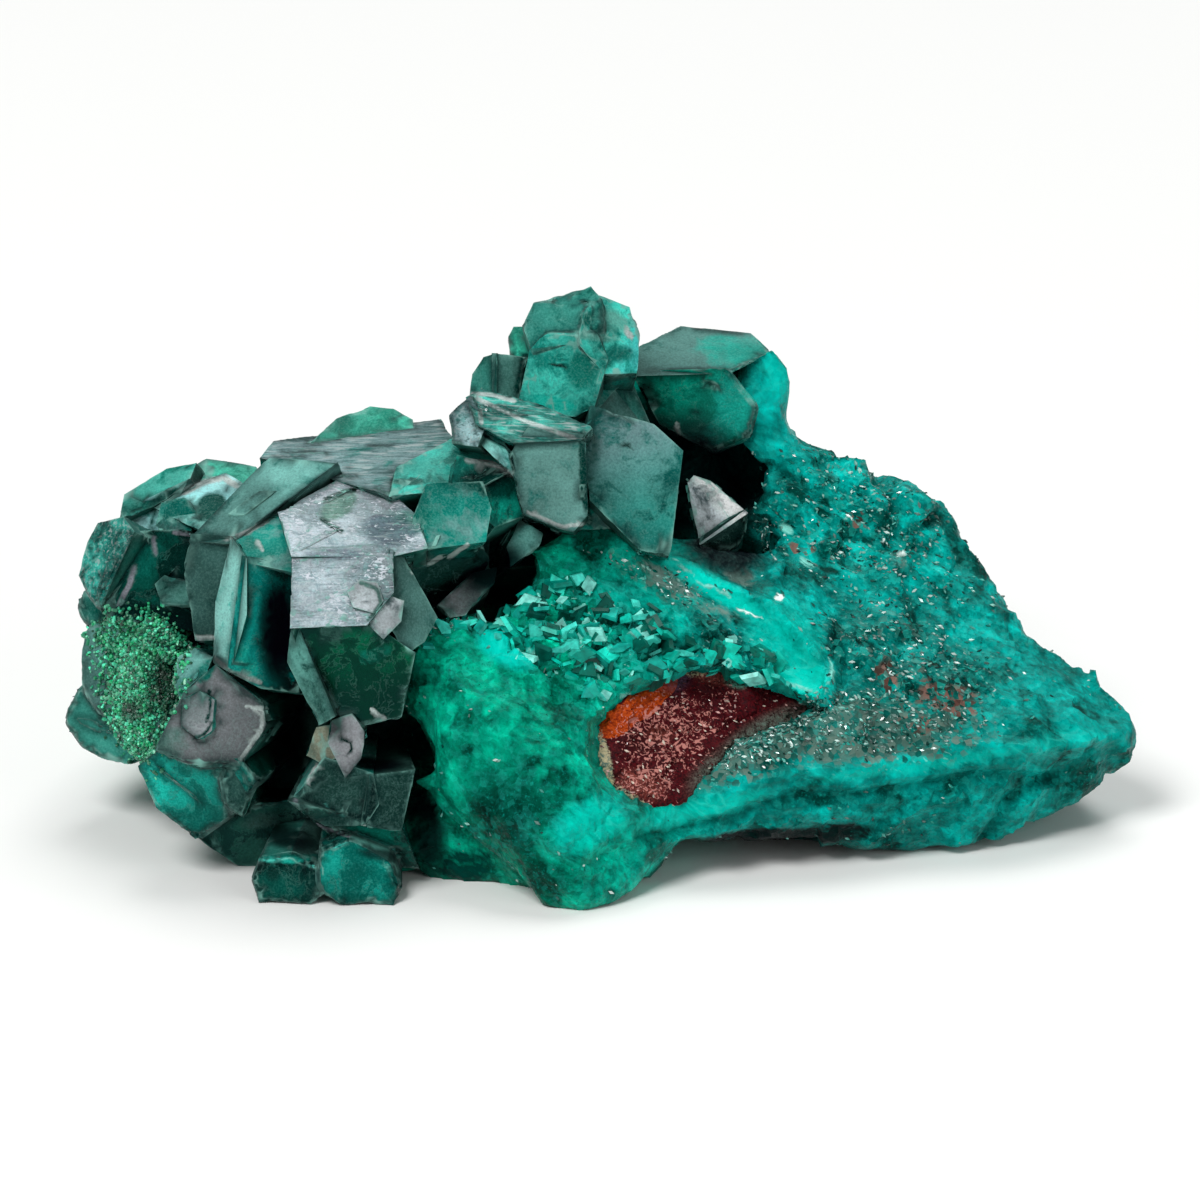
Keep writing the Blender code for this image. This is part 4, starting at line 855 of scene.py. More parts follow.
@dataclass(frozen=True)
class IronOxideCrust(Finish):
    """Red iron oxide, hematite with some goethite, left by water as an earthy crust.

    It is maroon and dull, with pink and cream crystals of silica through it and a clean orange band.
    """

    name: str = "iron_oxide"
    maroon: str = "#540610"
    dark: str = "#1a0207"
    orange: str = "#c04a0e"
    orange_dark: str = "#741d04"
    pink: str = "#c07f76"
    cream: str = "#b8ad8a"
    grey: str = "#5d7468"
    rough: float = 0.6
    shine: float = 0.1
    # The crust crumbles into grains of 0.1 to 0.3 mm
    crumb_mm: float = 0.22
    fine_mm: float = 0.1

    def make(self) -> Material:
        """Builds the material.

        Returns:
            The material, which reads the masks stored on the mesh.
        """
        material, node, shader, coordinates = self.start()
        masks, stain = (node("Attribute", attribute_name=name) for name in ("masks", "stain"))
        band, fringe, specks = node("SeparateColor", {"Color": masks.outputs["Color"]}).outputs.values()
        fine = node("TexNoise", {
            "Vector": coordinates, "Scale": self.per_metre(self.fine_mm), "Detail": 3.0, "Roughness": 0.7})
        crumbs = node("TexNoise", {
            "Vector": coordinates, "Scale": self.per_metre(self.crumb_mm), "Detail": 3.0, "Roughness": 0.55,
            "Distortion": 1.4})
        body = node("MapRange", {"Value": fine, "From Min": 0.35, "From Max": 0.65})
        surface = node("Mix", {0: body, 6: opaque(self.dark), 7: opaque(self.maroon)})
        clean = node("Mix", {0: body, 6: opaque(self.orange_dark), 7: opaque(self.orange)})
        banding = node("Math", {0: crumbs, 1: 0.25, 2: band}, operation="MULTIPLY_ADD")
        band_mask = node("MapRange", {"Value": banding, "From Min": 0.6, "From Max": 0.72})
        stained = node("Math", {0: stain.outputs["Alpha"], 1: body}, operation="MULTIPLY")
        specking = node("Math", {0: specks, 1: 0.17, 2: crumbs}, operation="MULTIPLY_ADD")
        speck_mask = node("MapRange", {
            "Value": specking, "From Min": 0.69, "From Max": 0.73, "To Max": 0.85})
        fringing = node("Math", {0: fine, 1: 0.9, 2: fringe}, operation="MULTIPLY_ADD")
        fringe_mask = node("MapRange", {"Value": fringing, "From Min": 0.85, "From Max": 1.0, "To Max": 0.9})
        fringe_grain = node("MapRange", {"Value": crumbs, "From Min": 0.42, "From Max": 0.55})
        fringe_color = node("Mix", {0: fringe_grain, 6: opaque(self.grey), 7: opaque(self.cream)})
        layers = (
            (band_mask, clean), (stained, stain.outputs["Color"]), (speck_mask, opaque(self.pink)),
            (fringe_mask, fringe_color))
        for mask, color in layers:
            surface = node("Mix", {0: mask, 6: surface, 7: color})
        bump = node("Bump", {"Height": crumbs, "Strength": 0.6, "Distance": 0.00008})
        feed(shader, {
            "Base Color": surface, "Normal": bump, "Roughness": self.rough,
            "Specular IOR Level": self.shine})
        return material


@dataclass(frozen=True)
class CleavageChip(Finish):
    """Loose-set cleavage chips of dioptase, with mirror-flat faces that flash as they catch the light."""

    name: str = "cleavage_chip"
    ior: float = 1.66
    rough: float = 0.12
    shine: float = 0.5
    cloud_mm: float = 0.3

    def make(self) -> Material:
        """Builds the material.

        Returns:
            The material, which reads each chip's colour from the mesh.
        """
        material, node, shader, coordinates = self.start()
        body = node("Attribute", attribute_name="body")
        cloud = node("TexNoise", {
            "Vector": coordinates, "Scale": self.per_metre(self.cloud_mm), "Detail": 3.0})
        depth = node("MapRange", {
            "Value": cloud, "From Min": 0.3, "From Max": 0.7, "To Min": 0.6, "To Max": 1.3})
        colored = node("Mix", {0: 1.0, 6: body.outputs["Color"], 7: depth}, blend_type="MULTIPLY")
        feed(shader, {
            "Base Color": colored, "Roughness": self.rough, "IOR": self.ior,
            "Specular IOR Level": self.shine})
        return material


@dataclass(frozen=True)
class PaintedBoard(Finish):
    """The studio's table, a board sprayed matt white."""

    name: str = "painted_board"
    paint: str = "#f3f3f1"
    rough: float = 0.9
    tooth_mm: float = 1.5

    def make(self) -> Material:
        """Builds the material.

        Returns:
            The material, matt white with the paint's faint tooth.
        """
        material, node, shader, coordinates = self.start()
        tooth = node("TexNoise", {
            "Vector": coordinates, "Scale": self.per_metre(self.tooth_mm), "Detail": 2.0})
        bump = node("Bump", {"Height": tooth, "Strength": 0.03, "Distance": 0.0001})
        feed(shader, {"Normal": bump, "Base Color": opaque(self.paint), "Roughness": self.rough})
        return material


class Shape:
    """Points and faces that are gathered up before they become one mesh."""

    def __init__(self) -> None:
        """Starts with nothing."""
        self.points: list[Triple] = []
        self.faces: list[tuple[int, ...]] = []
        self.tints: list[Tint] = []

    def add(self, points: list[Vector], faces: list[tuple[int, ...]], tint: Tint) -> None:
        """Adds one closed chip or crystal.

        Args:
            points: Its corners in metres.
            faces: Its faces as corner numbers.
            tint: Its colour in linear light.
        """
        first = len(self.points)
        self.points += [tuple(point) for point in points]
        self.faces += [tuple(first + index for index in face) for face in faces]
        self.tints += [tint] * len(faces)

    def add_prism(self, foot: Vector, tip: Vector, width: float, spin: float, tint: Tint) -> None:
        """Adds a six-sided prism with a pointed end.

        Args:
            foot: The middle of its foot.
            tip: The point of its end.
            width: Its width in metres.
            spin: Its turn about its own axis, in radians.
            tint: Its colour in linear light.
        """
        axis = (tip - foot).normalized()
        first = axis.orthogonal().normalized()
        second = axis.cross(first)
        shoulder = tip - axis * width * 0.45
        rings = []
        for middle in (foot, shoulder):
            for index in range(6):
                angle = spin + index * math.tau / 6
                rings.append(middle + (first * math.cos(angle) + second * math.sin(angle)) * width / 2)
        faces = [tuple(range(5, -1, -1))]
        for index in range(6):
            after = (index + 1) % 6
            faces.append((index, after, after + 6, index + 6))
            faces.append((index + 6, after + 6, 12))
        self.add([*rings, tip], faces, tint)

    def add_chip(self, middle: Vector, normal: Vector, along: Vector, sizes: Triple,
                 tint: Tint) -> None:
        """Adds a flat rhombic cleavage chip.

        Args:
            middle: The middle of the chip.
            normal: The direction that its flat face looks in.
            along: The direction of its length, in its own plane.
            sizes: Its length, half its width and half its thickness in metres.
            tint: Its colour in linear light.
        """
        over = normal.cross(along)
        size, half_width, thick = sizes
        rim = [along * size / 2, over * half_width, -along * size / 2, -over * half_width]
        points = [middle + corner - normal * thick for corner in rim]
        points += [middle + corner * 0.86 + normal * thick for corner in rim]
        faces = [(3, 2, 1, 0), (4, 5, 6, 7)] + [(i, (i + 1) % 4, (i + 1) % 4 + 4, i + 4) for i in range(4)]
        self.add(points, faces, tint)

    def finish(self, name: str) -> Mesh:
        """Makes the mesh.

        Args:
            name: The piece's name.

        Returns:
            The mesh, with its colours in the attribute body.
        """
        mesh = bpy.data.meshes.new(name)
        mesh.from_pydata(self.points, [], self.faces)
        mesh.update()
        layer = mesh.attributes.new("body", "FLOAT_COLOR", "CORNER")
        counts = [len(face) for face in self.faces]
        layer.data.foreach_set("color", np.repeat(np.array(self.tints), counts, axis=0).ravel())
        return mesh


def rows(items: Sequence, name: str) -> np.ndarray:
    """Reads x, y, z of every item of a mesh.

    Args:
        items: The mesh's points, normals or faces.
        name: The property that holds the three numbers.

    Returns:
        One row for each item.
    """
    values = np.empty(len(items) * 3)
    items.foreach_get(name, values)
    return values.reshape(-1, 3)


def store(mesh: Mesh, name: str, values: np.ndarray, domain: str = "POINT") -> None:
    """Stores numbers or colours on a mesh.

    Args:
        mesh: The mesh.
        name: The attribute's name.
        values: One number or one row of four numbers for each point or corner.
        domain: POINT or CORNER.
    """
    if values.ndim == 1:
        mesh.attributes.new(name, "FLOAT", domain).data.foreach_set("value", values)
    else:
        mesh.attributes.new(name, "FLOAT_COLOR", domain).data.foreach_set("color", values.ravel())


def merged_copy(node: str) -> BMesh:
    """Copies a node of the frame with the points of neighbouring faces joined.

    Args:
        node: The node's name.

    Returns:
        The copy, which the caller frees.
    """
    bm = bmesh.new()
    bm.from_mesh(frame["nodes"][node].data)
    bmesh.ops.remove_doubles(bm, verts=bm.verts[:], dist=MERGE_DISTANCE)
    bm.normal_update()
    return bm


def put_in_scene(name: str, mesh: Mesh, material: Material, node: str | None = None) -> Object:
    """Sets a piece on the specimen's body and reports it.

    Args:
        name: The piece's name.
        mesh: Its mesh.
        material: Its finish.
        node: The node that it stands for, if any.

    Returns:
        The piece.
    """
    mesh.materials.append(material)
    made = bpy.data.objects.new(name, mesh)
    bpy.context.scene.collection.objects.link(made)
    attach(made, "root")
    if node:
        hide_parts(node)
    LOG.info("%s: %d faces", name, len(mesh.polygons))
    return made


@dataclass
class CrystalPiece:
    """A crystal solid dressed with worn edges, growth plates and a look for each of its faces.

    Sizes are in millimetres. step is the length of the edges of the plain faces' mesh and fine_step
    that of the faces with a relief of their own. Triangles of the solid are one face where their planes
    are within same_plane, the cosine of their normals is over same_turn and they lie within same_reach.
    """

    node: str
    slot: str
    body: Body
    step: float = 0.42
    fine_step: float = 0.13
    wear: float = 0.035
    ripple: float = 0.012
    relief: float = 0.045
    slope: float = 0.7
    sharp: float = math.radians(16)
    shade_angle: float = math.radians(14)
    same_plane: float = 0.05
    same_turn: float = 0.9995
    same_reach: float = 9.0
    plates: int = 60
    plate_sizes: tuple[float, float] = (0.6, 3.2)
    plate_height: float = 0.07
    # The smallest face that a plate grows on, in square millimetres
    plate_ground: float = 0.2
    # How much of a plate's corner is missing, and the share of plates whose wall is painted in shade
    plate_cuts: tuple[float, ...] = (0.0, 0.35, 0.6)
    shaded_walls: float = 0.2
    edge_step: float = 0.2
    mark_step: float = 0.15
    # How much longer than its limit an edge may be, and the rounds of splitting
    slack: float = 1.4
    rounds: int = 7
    # How far and how dark the painted shade reaches from the creases between faces
    crevice_shade_reach: float = 0.34
    crevice_shade_dark: float = 0.75
    # The painted crevice shade on pitted and foil-like faces, whose own relief would turn dark
    crevice_shade_faint: float = 0.2
    # Natural minerals don't reflect more than this
    brightest: float = 0.85
    rounding: int = 14
    seed: int = 4
    # Deep gaps whose faces are painted in shade
    shaded_hollows: tuple[Spot, ...] = SHADED_HOLLOWS
    chosen: list[tuple[Look, float]] = field(default_factory=list)

    def choose_looks(self, bm: BMesh) -> BMLayerItem:
        """Gives each face of the solid its look, from the picture where it is seen.

        Args:
            bm: The solid.

        Returns:
            The face layer with the number of each face's look in chosen.
        """
        layer = bm.faces.layers.int.new("look")
        tree = BVHTree.FromBMesh(bm)
        bm.faces.ensure_lookup_table()
        middles = np.array([face.calc_center_median() for face in bm.faces])
        normals = np.array([face.normal for face in bm.faces])
        numbers = np.full(len(bm.faces), -1)
        for pick in PICKS.values():
            start = SIGHT.place(pick.across, pick.up, Body.START)
            place, normal, index, _ = tree.ray_cast(start, -SIGHT.towards())
            seen = self.body.near_at(pick.across, pick.up)
            if index is None or abs(SIGHT.measure(np.array([place]))[0][2] - seen) > self.same_plane:
                continue
            offset = np.abs((middles - np.array(place)) @ np.array(normal))
            away = np.linalg.norm(middles - np.array(place), axis=1)
            same = normals @ np.array(normal) > self.same_turn
            same &= (offset < self.same_plane * MM) & (away < self.same_reach * MM)
            numbers[same] = len(self.chosen)
            self.chosen.append((pick.look, pick.tone))
        for index in range(len(numbers)):
            if numbers[index] >= 0:
                continue
            same = (normals @ normals[index] > self.same_turn) & (numbers < 0)
            same &= np.abs((middles - middles[index]) @ normals[index]) < self.same_plane * MM
            turn = noise.noise(Vector(middles[index]) * 900 + Vector(normals[index]) * 3)
            look = UNSEEN_LOOKS[int(abs(turn) * 997) % len(UNSEEN_LOOKS)]
            numbers[same] = len(self.chosen)
            self.chosen.append((look, 0.85 + 0.3 * abs(turn)))
        for face, number in zip(bm.faces, numbers):
            face[layer] = int(number)
        return layer

    def face_directions(self, bm: BMesh, layer: BMLayerItem) -> dict[int, list[Vector]]:
        """Finds the directions of each face's outline, the longest edge first.

        Args:
            bm: The solid.
            layer: The face layer of looks.

        Returns:
            Up to three directions for each look's number.
        """
        edges: dict[int, list[Vector]] = {}
        for edge in bm.edges:
            numbers = {face[layer] for face in edge.link_faces}
            if len(numbers) == 2:
                for number in numbers:
                    edges.setdefault(number, []).append(edge.verts[1].co - edge.verts[0].co)
        found = {}
        for number, lines in edges.items():
            lines.sort(key=lambda line: line.length, reverse=True)
            kept: list[Vector] = []
            for line in lines:
                direction = line.normalized()
                if all(abs(direction.dot(other)) < 0.85 for other in kept):
                    kept.append(direction)
            found[number] = kept[:3]
        return found

    def add_plates(self, bm: BMesh, layer: BMLayerItem) -> None:
        """Grows thin plates on the larger faces, their sides along the edges of the face.

        Args:
            bm: The solid.
            layer: The face layer of looks.
        """
        rng = random.Random(self.seed)
        tree = BVHTree.FromBMesh(bm)
        directions = self.face_directions(bm, layer)
        bm.faces.ensure_lookup_table()
        smallest = self.plate_ground * MM * MM
        faces = [face for face in bm.faces if face.calc_area() > smallest and directions.get(face[layer])]
        areas = [face.calc_area() for face in faces]
        for _ in range(self.plates):
            face = rng.choices(faces, areas)[0]
            lines = directions[face[layer]]
            first = lines[0]
            second = lines[1] if len(lines) > 1 else face.normal.cross(first)
            corners = [vert.co for vert in face.verts[:3]]
            mix = sorted((rng.random(), rng.random()))
            middle = corners[0] * mix[0] + corners[1] * (mix[1] - mix[0]) + corners[2] * (1 - mix[1])
            half = first * rng.uniform(*self.plate_sizes) * MM / 2
            over = second * rng.uniform(*self.plate_sizes) * MM * 0.3
            cut = rng.choice(self.plate_cuts)
            corner = [(1, 1 - cut), (1 - cut, 1)] if cut else [(1, 1)]
            shape = [(-1, -1), (1, -1), *corner, (-1, 1)]
            for _ in range(self.rounds):
                rim = [middle + half * a + over * b for a, b in shape]
                hits = [tree.find_nearest(corner) for corner in rim]
                if all(hit[3] < 0.02 * MM and hit[1].dot(face.normal) > 0.999 for hit in hits):
                    break
                half, over = half * 0.75, over * 0.75
            else:
                continue
            if half.cross(over).dot(face.normal) < 0:
                rim.reverse()
            look, tone = self.chosen[face[layer]]
            # Shaded walls are painted near-black as shade; the others are painted half as light again as the
            # face, as a lit rim
            wall = (Look.NIGHT, 1.0) if rng.random() < self.shaded_walls else (look, tone * 1.5)
            top = 0.0
            for level in range(rng.choice((1, 1, 2))):
                self.chosen.append((look, tone * rng.uniform(0.75, 1.35)))
                height = self.plate_height * rng.uniform(0.4, 1.3) * MM
                corner = rng.choice(rim)
                rim = [corner.lerp(point, 1.0 - 0.35 * level) for point in rim]
                center = sum(rim, Vector()) / len(rim)
                low = [bm.verts.new(point + face.normal * (top - height)) for point in rim]
                top += height
                high = [bm.verts.new(point.lerp(center, 0.04) + face.normal * top) for point in rim]
                count = len(rim)
                for new in (bm.faces.new(high), bm.faces.new(low[::-1])):
                    new[layer] = len(self.chosen) - 1
                self.chosen.append(wall)
                for k in range(count):
                    after = (k + 1) % count
                    new = bm.faces.new((low[k], low[after], high[after], high[k]))
                    new[layer] = len(self.chosen) - 1
        bm.normal_update()

    def refine(self, bm: BMesh, layer: BMLayerItem) -> None:
        """Splits the faces until no edge is longer than its look needs.

        Args:
            bm: The solid.
            layer: The face layer of looks.
        """
        plain = {Relief.SMOOTH: self.step, Relief.PITTED: self.fine_step * 1.6}
        limits = [plain.get(look.value.relief, self.fine_step) * MM for look, _ in self.chosen]
        shortest = min(*limits, self.edge_step * MM, self.mark_step * MM)
        bmesh.ops.triangulate(bm, faces=bm.faces[:])
        lines = [mark for marks in CRYSTAL_STAINS_HIGHLIGHTS_SHADOWS.values() for mark in marks if isinstance(mark, Seam)]
        areas = [mark for marks in CRYSTAL_STAINS_HIGHLIGHTS_SHADOWS.values() for mark in marks if isinstance(mark, Spot)]
        for _ in range(self.rounds):
            long = []
            edges = [edge for edge in bm.edges if edge.calc_length() > shortest * self.slack]
            halfway = [(edge.verts[0].co + edge.verts[1].co) / 2 for edge in edges]
            middles = SIGHT.measure(np.array([place[:] for place in halfway]).reshape(-1, 3))
            rim = self.body.weigh((*areas, *self.shaded_hollows), middles)
            tips = self.body.weigh(ROUNDED_SPOTS, middles) > 0.1
            marked = (self.body.weigh(tuple(lines), middles) > 0.02) | ((rim > 0.05) & (rim < 0.6))
            for edge, near_mark, tip in zip(edges, marked, tips):
                limit = min(limits[face[layer]] for face in edge.link_faces)
                if tip:
                    limit = min(limit, self.edge_step * MM)
                if near_mark:
                    limit = min(limit, self.mark_step * MM)
                if edge.calc_face_angle(0) > self.sharp:
                    limit = min(limit, self.edge_step * MM)
                if edge.calc_length() > limit * self.slack:
                    long.append(edge)
            if not long:
                break
            bmesh.ops.subdivide_edges(bm, edges=long, cuts=1)
            bmesh.ops.triangulate(bm, faces=[face for face in bm.faces if len(face.verts) > 3])

    def round_off(self, bm: BMesh) -> None:
        """Rounds the places where the crystals end in smooth bulging tips.

        Args:
            bm: The solid.
        """
        bm.verts.ensure_lookup_table()
        weights = self.body.weigh(ROUNDED_SPOTS, SIGHT.measure(np.array([vert.co for vert in bm.verts])))
        for turn in range(self.rounding):
            kept = [vert for vert, weight in zip(bm.verts, weights) if weight * self.rounding > turn + 0.5]
            bmesh.ops.smooth_vert(
                bm, verts=kept, factor=0.5, use_axis_x=True, use_axis_y=True, use_axis_z=True)

    def weather(self, bm: BMesh, layer: BMLayerItem) -> None:
        """Wears the edges and gives each face its relief.

        Args:
            bm: The solid.
            layer: The face layer of looks.
        """
        bm.normal_update()
        moves = {}
        for edge in bm.edges:
            if len(edge.link_faces) == 2 and edge.calc_face_angle(0) > self.sharp and edge.is_convex:
                for vert in edge.verts:
                    place = vert.co / MM
                    chip = max(0.0, noise.noise(place * 0.8) - 0.12) * (1 + noise.noise(place * 4))
                    amount = 0.4 + 0.8 * abs(noise.noise(place * 2.3)) + 7 * chip
                    moves[vert] = -vert.normal * self.wear * MM * amount
        for vert in bm.verts:
            if vert in moves:
                continue
            looks = [self.chosen[face[layer]][0].value.relief for face in vert.link_faces]
            place = vert.co / MM
            shift = self.ripple * noise.noise(place * 1.3)
            if Relief.STRIATED in looks:
                shift += self.relief * noise.noise(Vector((place.x * 0.5, place.y * 4.2, place.z * 4.2)))
            elif Relief.GLITTERING in looks:
                shift += self.relief * 1.2 * noise.noise(place * 3.4)
            elif Relief.PITTED in looks:
                shift += self.relief * 1.4 * noise.noise(place * 2.2)
            moves[vert] = vert.normal * shift * MM
        for vert, move in moves.items():
            vert.co += move
            vert.co.z = max(vert.co.z, 0.0)

    def paint(self, mesh: Mesh) -> None:
        """Stores the colours and finishes of the faces, the painted shade of the hollows and the stains on
        the mesh.

        Args:
            mesh: The finished mesh.
        """
        points = rows(mesh.vertices, "co")
        measured = SIGHT.measure(points)
        numbers = np.empty(len(mesh.polygons), int)
        mesh.attributes["look"].data.foreach_get("value", numbers)
        loop_points = np.empty(len(mesh.loops), int)
        mesh.loops.foreach_get("vertex_index", loop_points)
        loop_numbers = np.repeat(numbers, 3)
        order = np.argsort(loop_numbers, kind="stable")
        starts = np.searchsorted(loop_numbers[order], np.arange(len(self.chosen) + 1))
        corners = measured[loop_points]
        body = np.zeros((len(loop_points), 4))
        under = np.zeros((len(loop_points), 4))
        finish = np.zeros((len(loop_points), 4))
        for number, (look, tone) in enumerate(self.chosen):
            own = order[starts[number]:starts[number + 1]]
            if not len(own):
                continue
            face = look.value
            near_color = np.array(linear(face.color)) * tone
            far_color = np.array(linear(face.far_color or face.color)) * tone
            turn = math.radians(face.fade)
            along = corners[own, 0] * math.cos(turn) + corners[own, 1] * math.sin(turn)
            share = smooth((along - along.min()) / max(float(np.ptp(along)), 1e-6) * 1.25 - 0.1)[:, None]
            slope = noise.noise(Vector((number * 7.7, 0.5, 0.5))) * math.pi * 4
            across = corners[own, 0] * math.cos(slope) + corners[own, 1] * math.sin(slope)
            place = (across - across.min()) / max(float(np.ptp(across)), 1e-6)
            shade = (1 + self.slope * (place - 0.5))[:, None]
            body[own, :3] = (near_color * (1 - share) + far_color * share) * shade
            body[own, 3] = {Relief.STRIATED: 1.0, Relief.GLITTERING: 0.55}.get(face.relief, 0.0)
            under[own, :3] = np.array(linear(face.under)) * tone * shade
            under[own, 3] = face.cover
            finish[own, :3] = (face.rough, face.film, face.relief is Relief.GLITTERING)
        body[:, :3] = np.minimum(body[:, :3], self.brightest)
        finish[:, 3] = self.body.weigh(SPARK_SPOTS, measured)[loop_points]
        store(mesh, "body", body, "CORNER")
        store(mesh, "under", under, "CORNER")
        store(mesh, "finish", finish, "CORNER")
        store(mesh, "hollow_shade", self.body.weigh(self.shaded_hollows, measured))
        # The stains include painted highlight lines and painted shadow lines
        store(mesh, "stain", self.body.stain(CRYSTAL_STAINS_HIGHLIGHTS_SHADOWS, measured))

    def build(self, material: Material) -> Object:
        """Makes the dressed crystal.

        Args:
            material: Its finish.

        Returns:
            The piece, in place of its node.
        """
        bm = merged_copy(self.node)
        layer = self.choose_looks(bm)
        self.add_plates(bm, layer)
        self.refine(bm, layer)
        self.round_off(bm)
        self.weather(bm, layer)
        bm.normal_update()
        bm.verts.index_update()
        edge_layer = bm.verts.layers.float.new("edge")
        crevice_shade_layer = bm.verts.layers.float.new("crevice_shade")
        inner = set()
        for edge in bm.edges:
            if edge.calc_face_angle(0) > self.sharp:
                for vert in edge.verts:
                    if edge.is_convex:
                        vert[edge_layer] = 1.0
                    else:
                        inner.add(vert)
        # Points near the concave creases get painted shade
        if inner:
            near = KDTree(len(inner))
            for index, vert in enumerate(sorted(inner, key=lambda vert: vert.index)):
                near.insert(vert.co, index)
            near.balance()
            for vert in bm.verts:
                away = near.find(vert.co)[2] / MM / self.crevice_shade_reach
                reliefs = {self.chosen[face[layer]][0].value.relief for face in vert.link_faces}
                rough = reliefs & {Relief.PITTED, Relief.GLITTERING}
                strength = self.crevice_shade_faint if rough else self.crevice_shade_dark
                vert[crevice_shade_layer] = max(0.0, 1 - away) ** 1.5 * strength
        mesh = bpy.data.meshes.new(self.node + "_skin")
        bm.to_mesh(mesh)
        bm.free()
        self.paint(mesh)
        mesh.shade_smooth()
        mesh.set_sharp_from_angle(angle=self.shade_angle)
        return put_in_scene(self.node + "_skin", mesh, material, self.node)


def remeshed_copy(node: str, voxel_mm: float) -> Mesh:
    """Copies a node of the frame with an even mesh, its points in the order of their places.

    Args:
        node: The node's name.
        voxel_mm: The length of its edges.

    Returns:
        The new mesh.
    """
    bm = merged_copy(node)
    mesh = bpy.data.meshes.new(node + "_even")
    bm.to_mesh(mesh)
    bm.free()
    holder = bpy.data.objects.new(node + "_even", mesh)
    bpy.context.scene.collection.objects.link(holder)
    modifier = holder.modifiers.new("even", "REMESH")
    modifier.mode = "VOXEL"
    modifier.voxel_size = voxel_mm * MM
    graph = bpy.context.evaluated_depsgraph_get()
    even = bpy.data.meshes.new_from_object(holder.evaluated_get(graph))
    bpy.data.objects.remove(holder, do_unlink=True)
    points = np.round(rows(even.vertices, "co"), 8)
    order = np.lexsort(points.T)
    rank = np.empty(len(order), int)
    rank[order] = np.arange(len(order))
    faces = []
    for polygon in even.polygons:
        ring = [int(rank[index]) for index in polygon.vertices]
        start = ring.index(min(ring))
        faces.append(tuple(ring[start:] + ring[:start]))
    ordered = bpy.data.meshes.new(node + "_skin")
    ordered.from_pydata(points[order].tolist(), [], sorted(faces))
    ordered.update()
    return ordered


@dataclass(frozen=True)
class FacetLayer:
    """One size of the flat tilted facets that broken rock shows, with ledges between them, in millimetres."""

    size: float
    step: float
    tilt: float
    tone: float = 0.0

    def look_up(self, place: Vector) -> tuple[float, float]:
        """Tells how far the rock stands out at a place, and how light its facet is.

        Args:
            place: The place in millimetres.

        Returns:
            The height in millimetres and the share of lightness.
        """
        nearest = noise.voronoi(place / self.size)[1][0]
        lean = Vector([noise.noise(nearest * pattern) for pattern in (5.7, 7.3, 11.9)])
        height = self.step * noise.noise(nearest * 9.1) + self.tilt * lean.dot(place - nearest * self.size)
        return height, self.tone * noise.noise(nearest * 13.3)


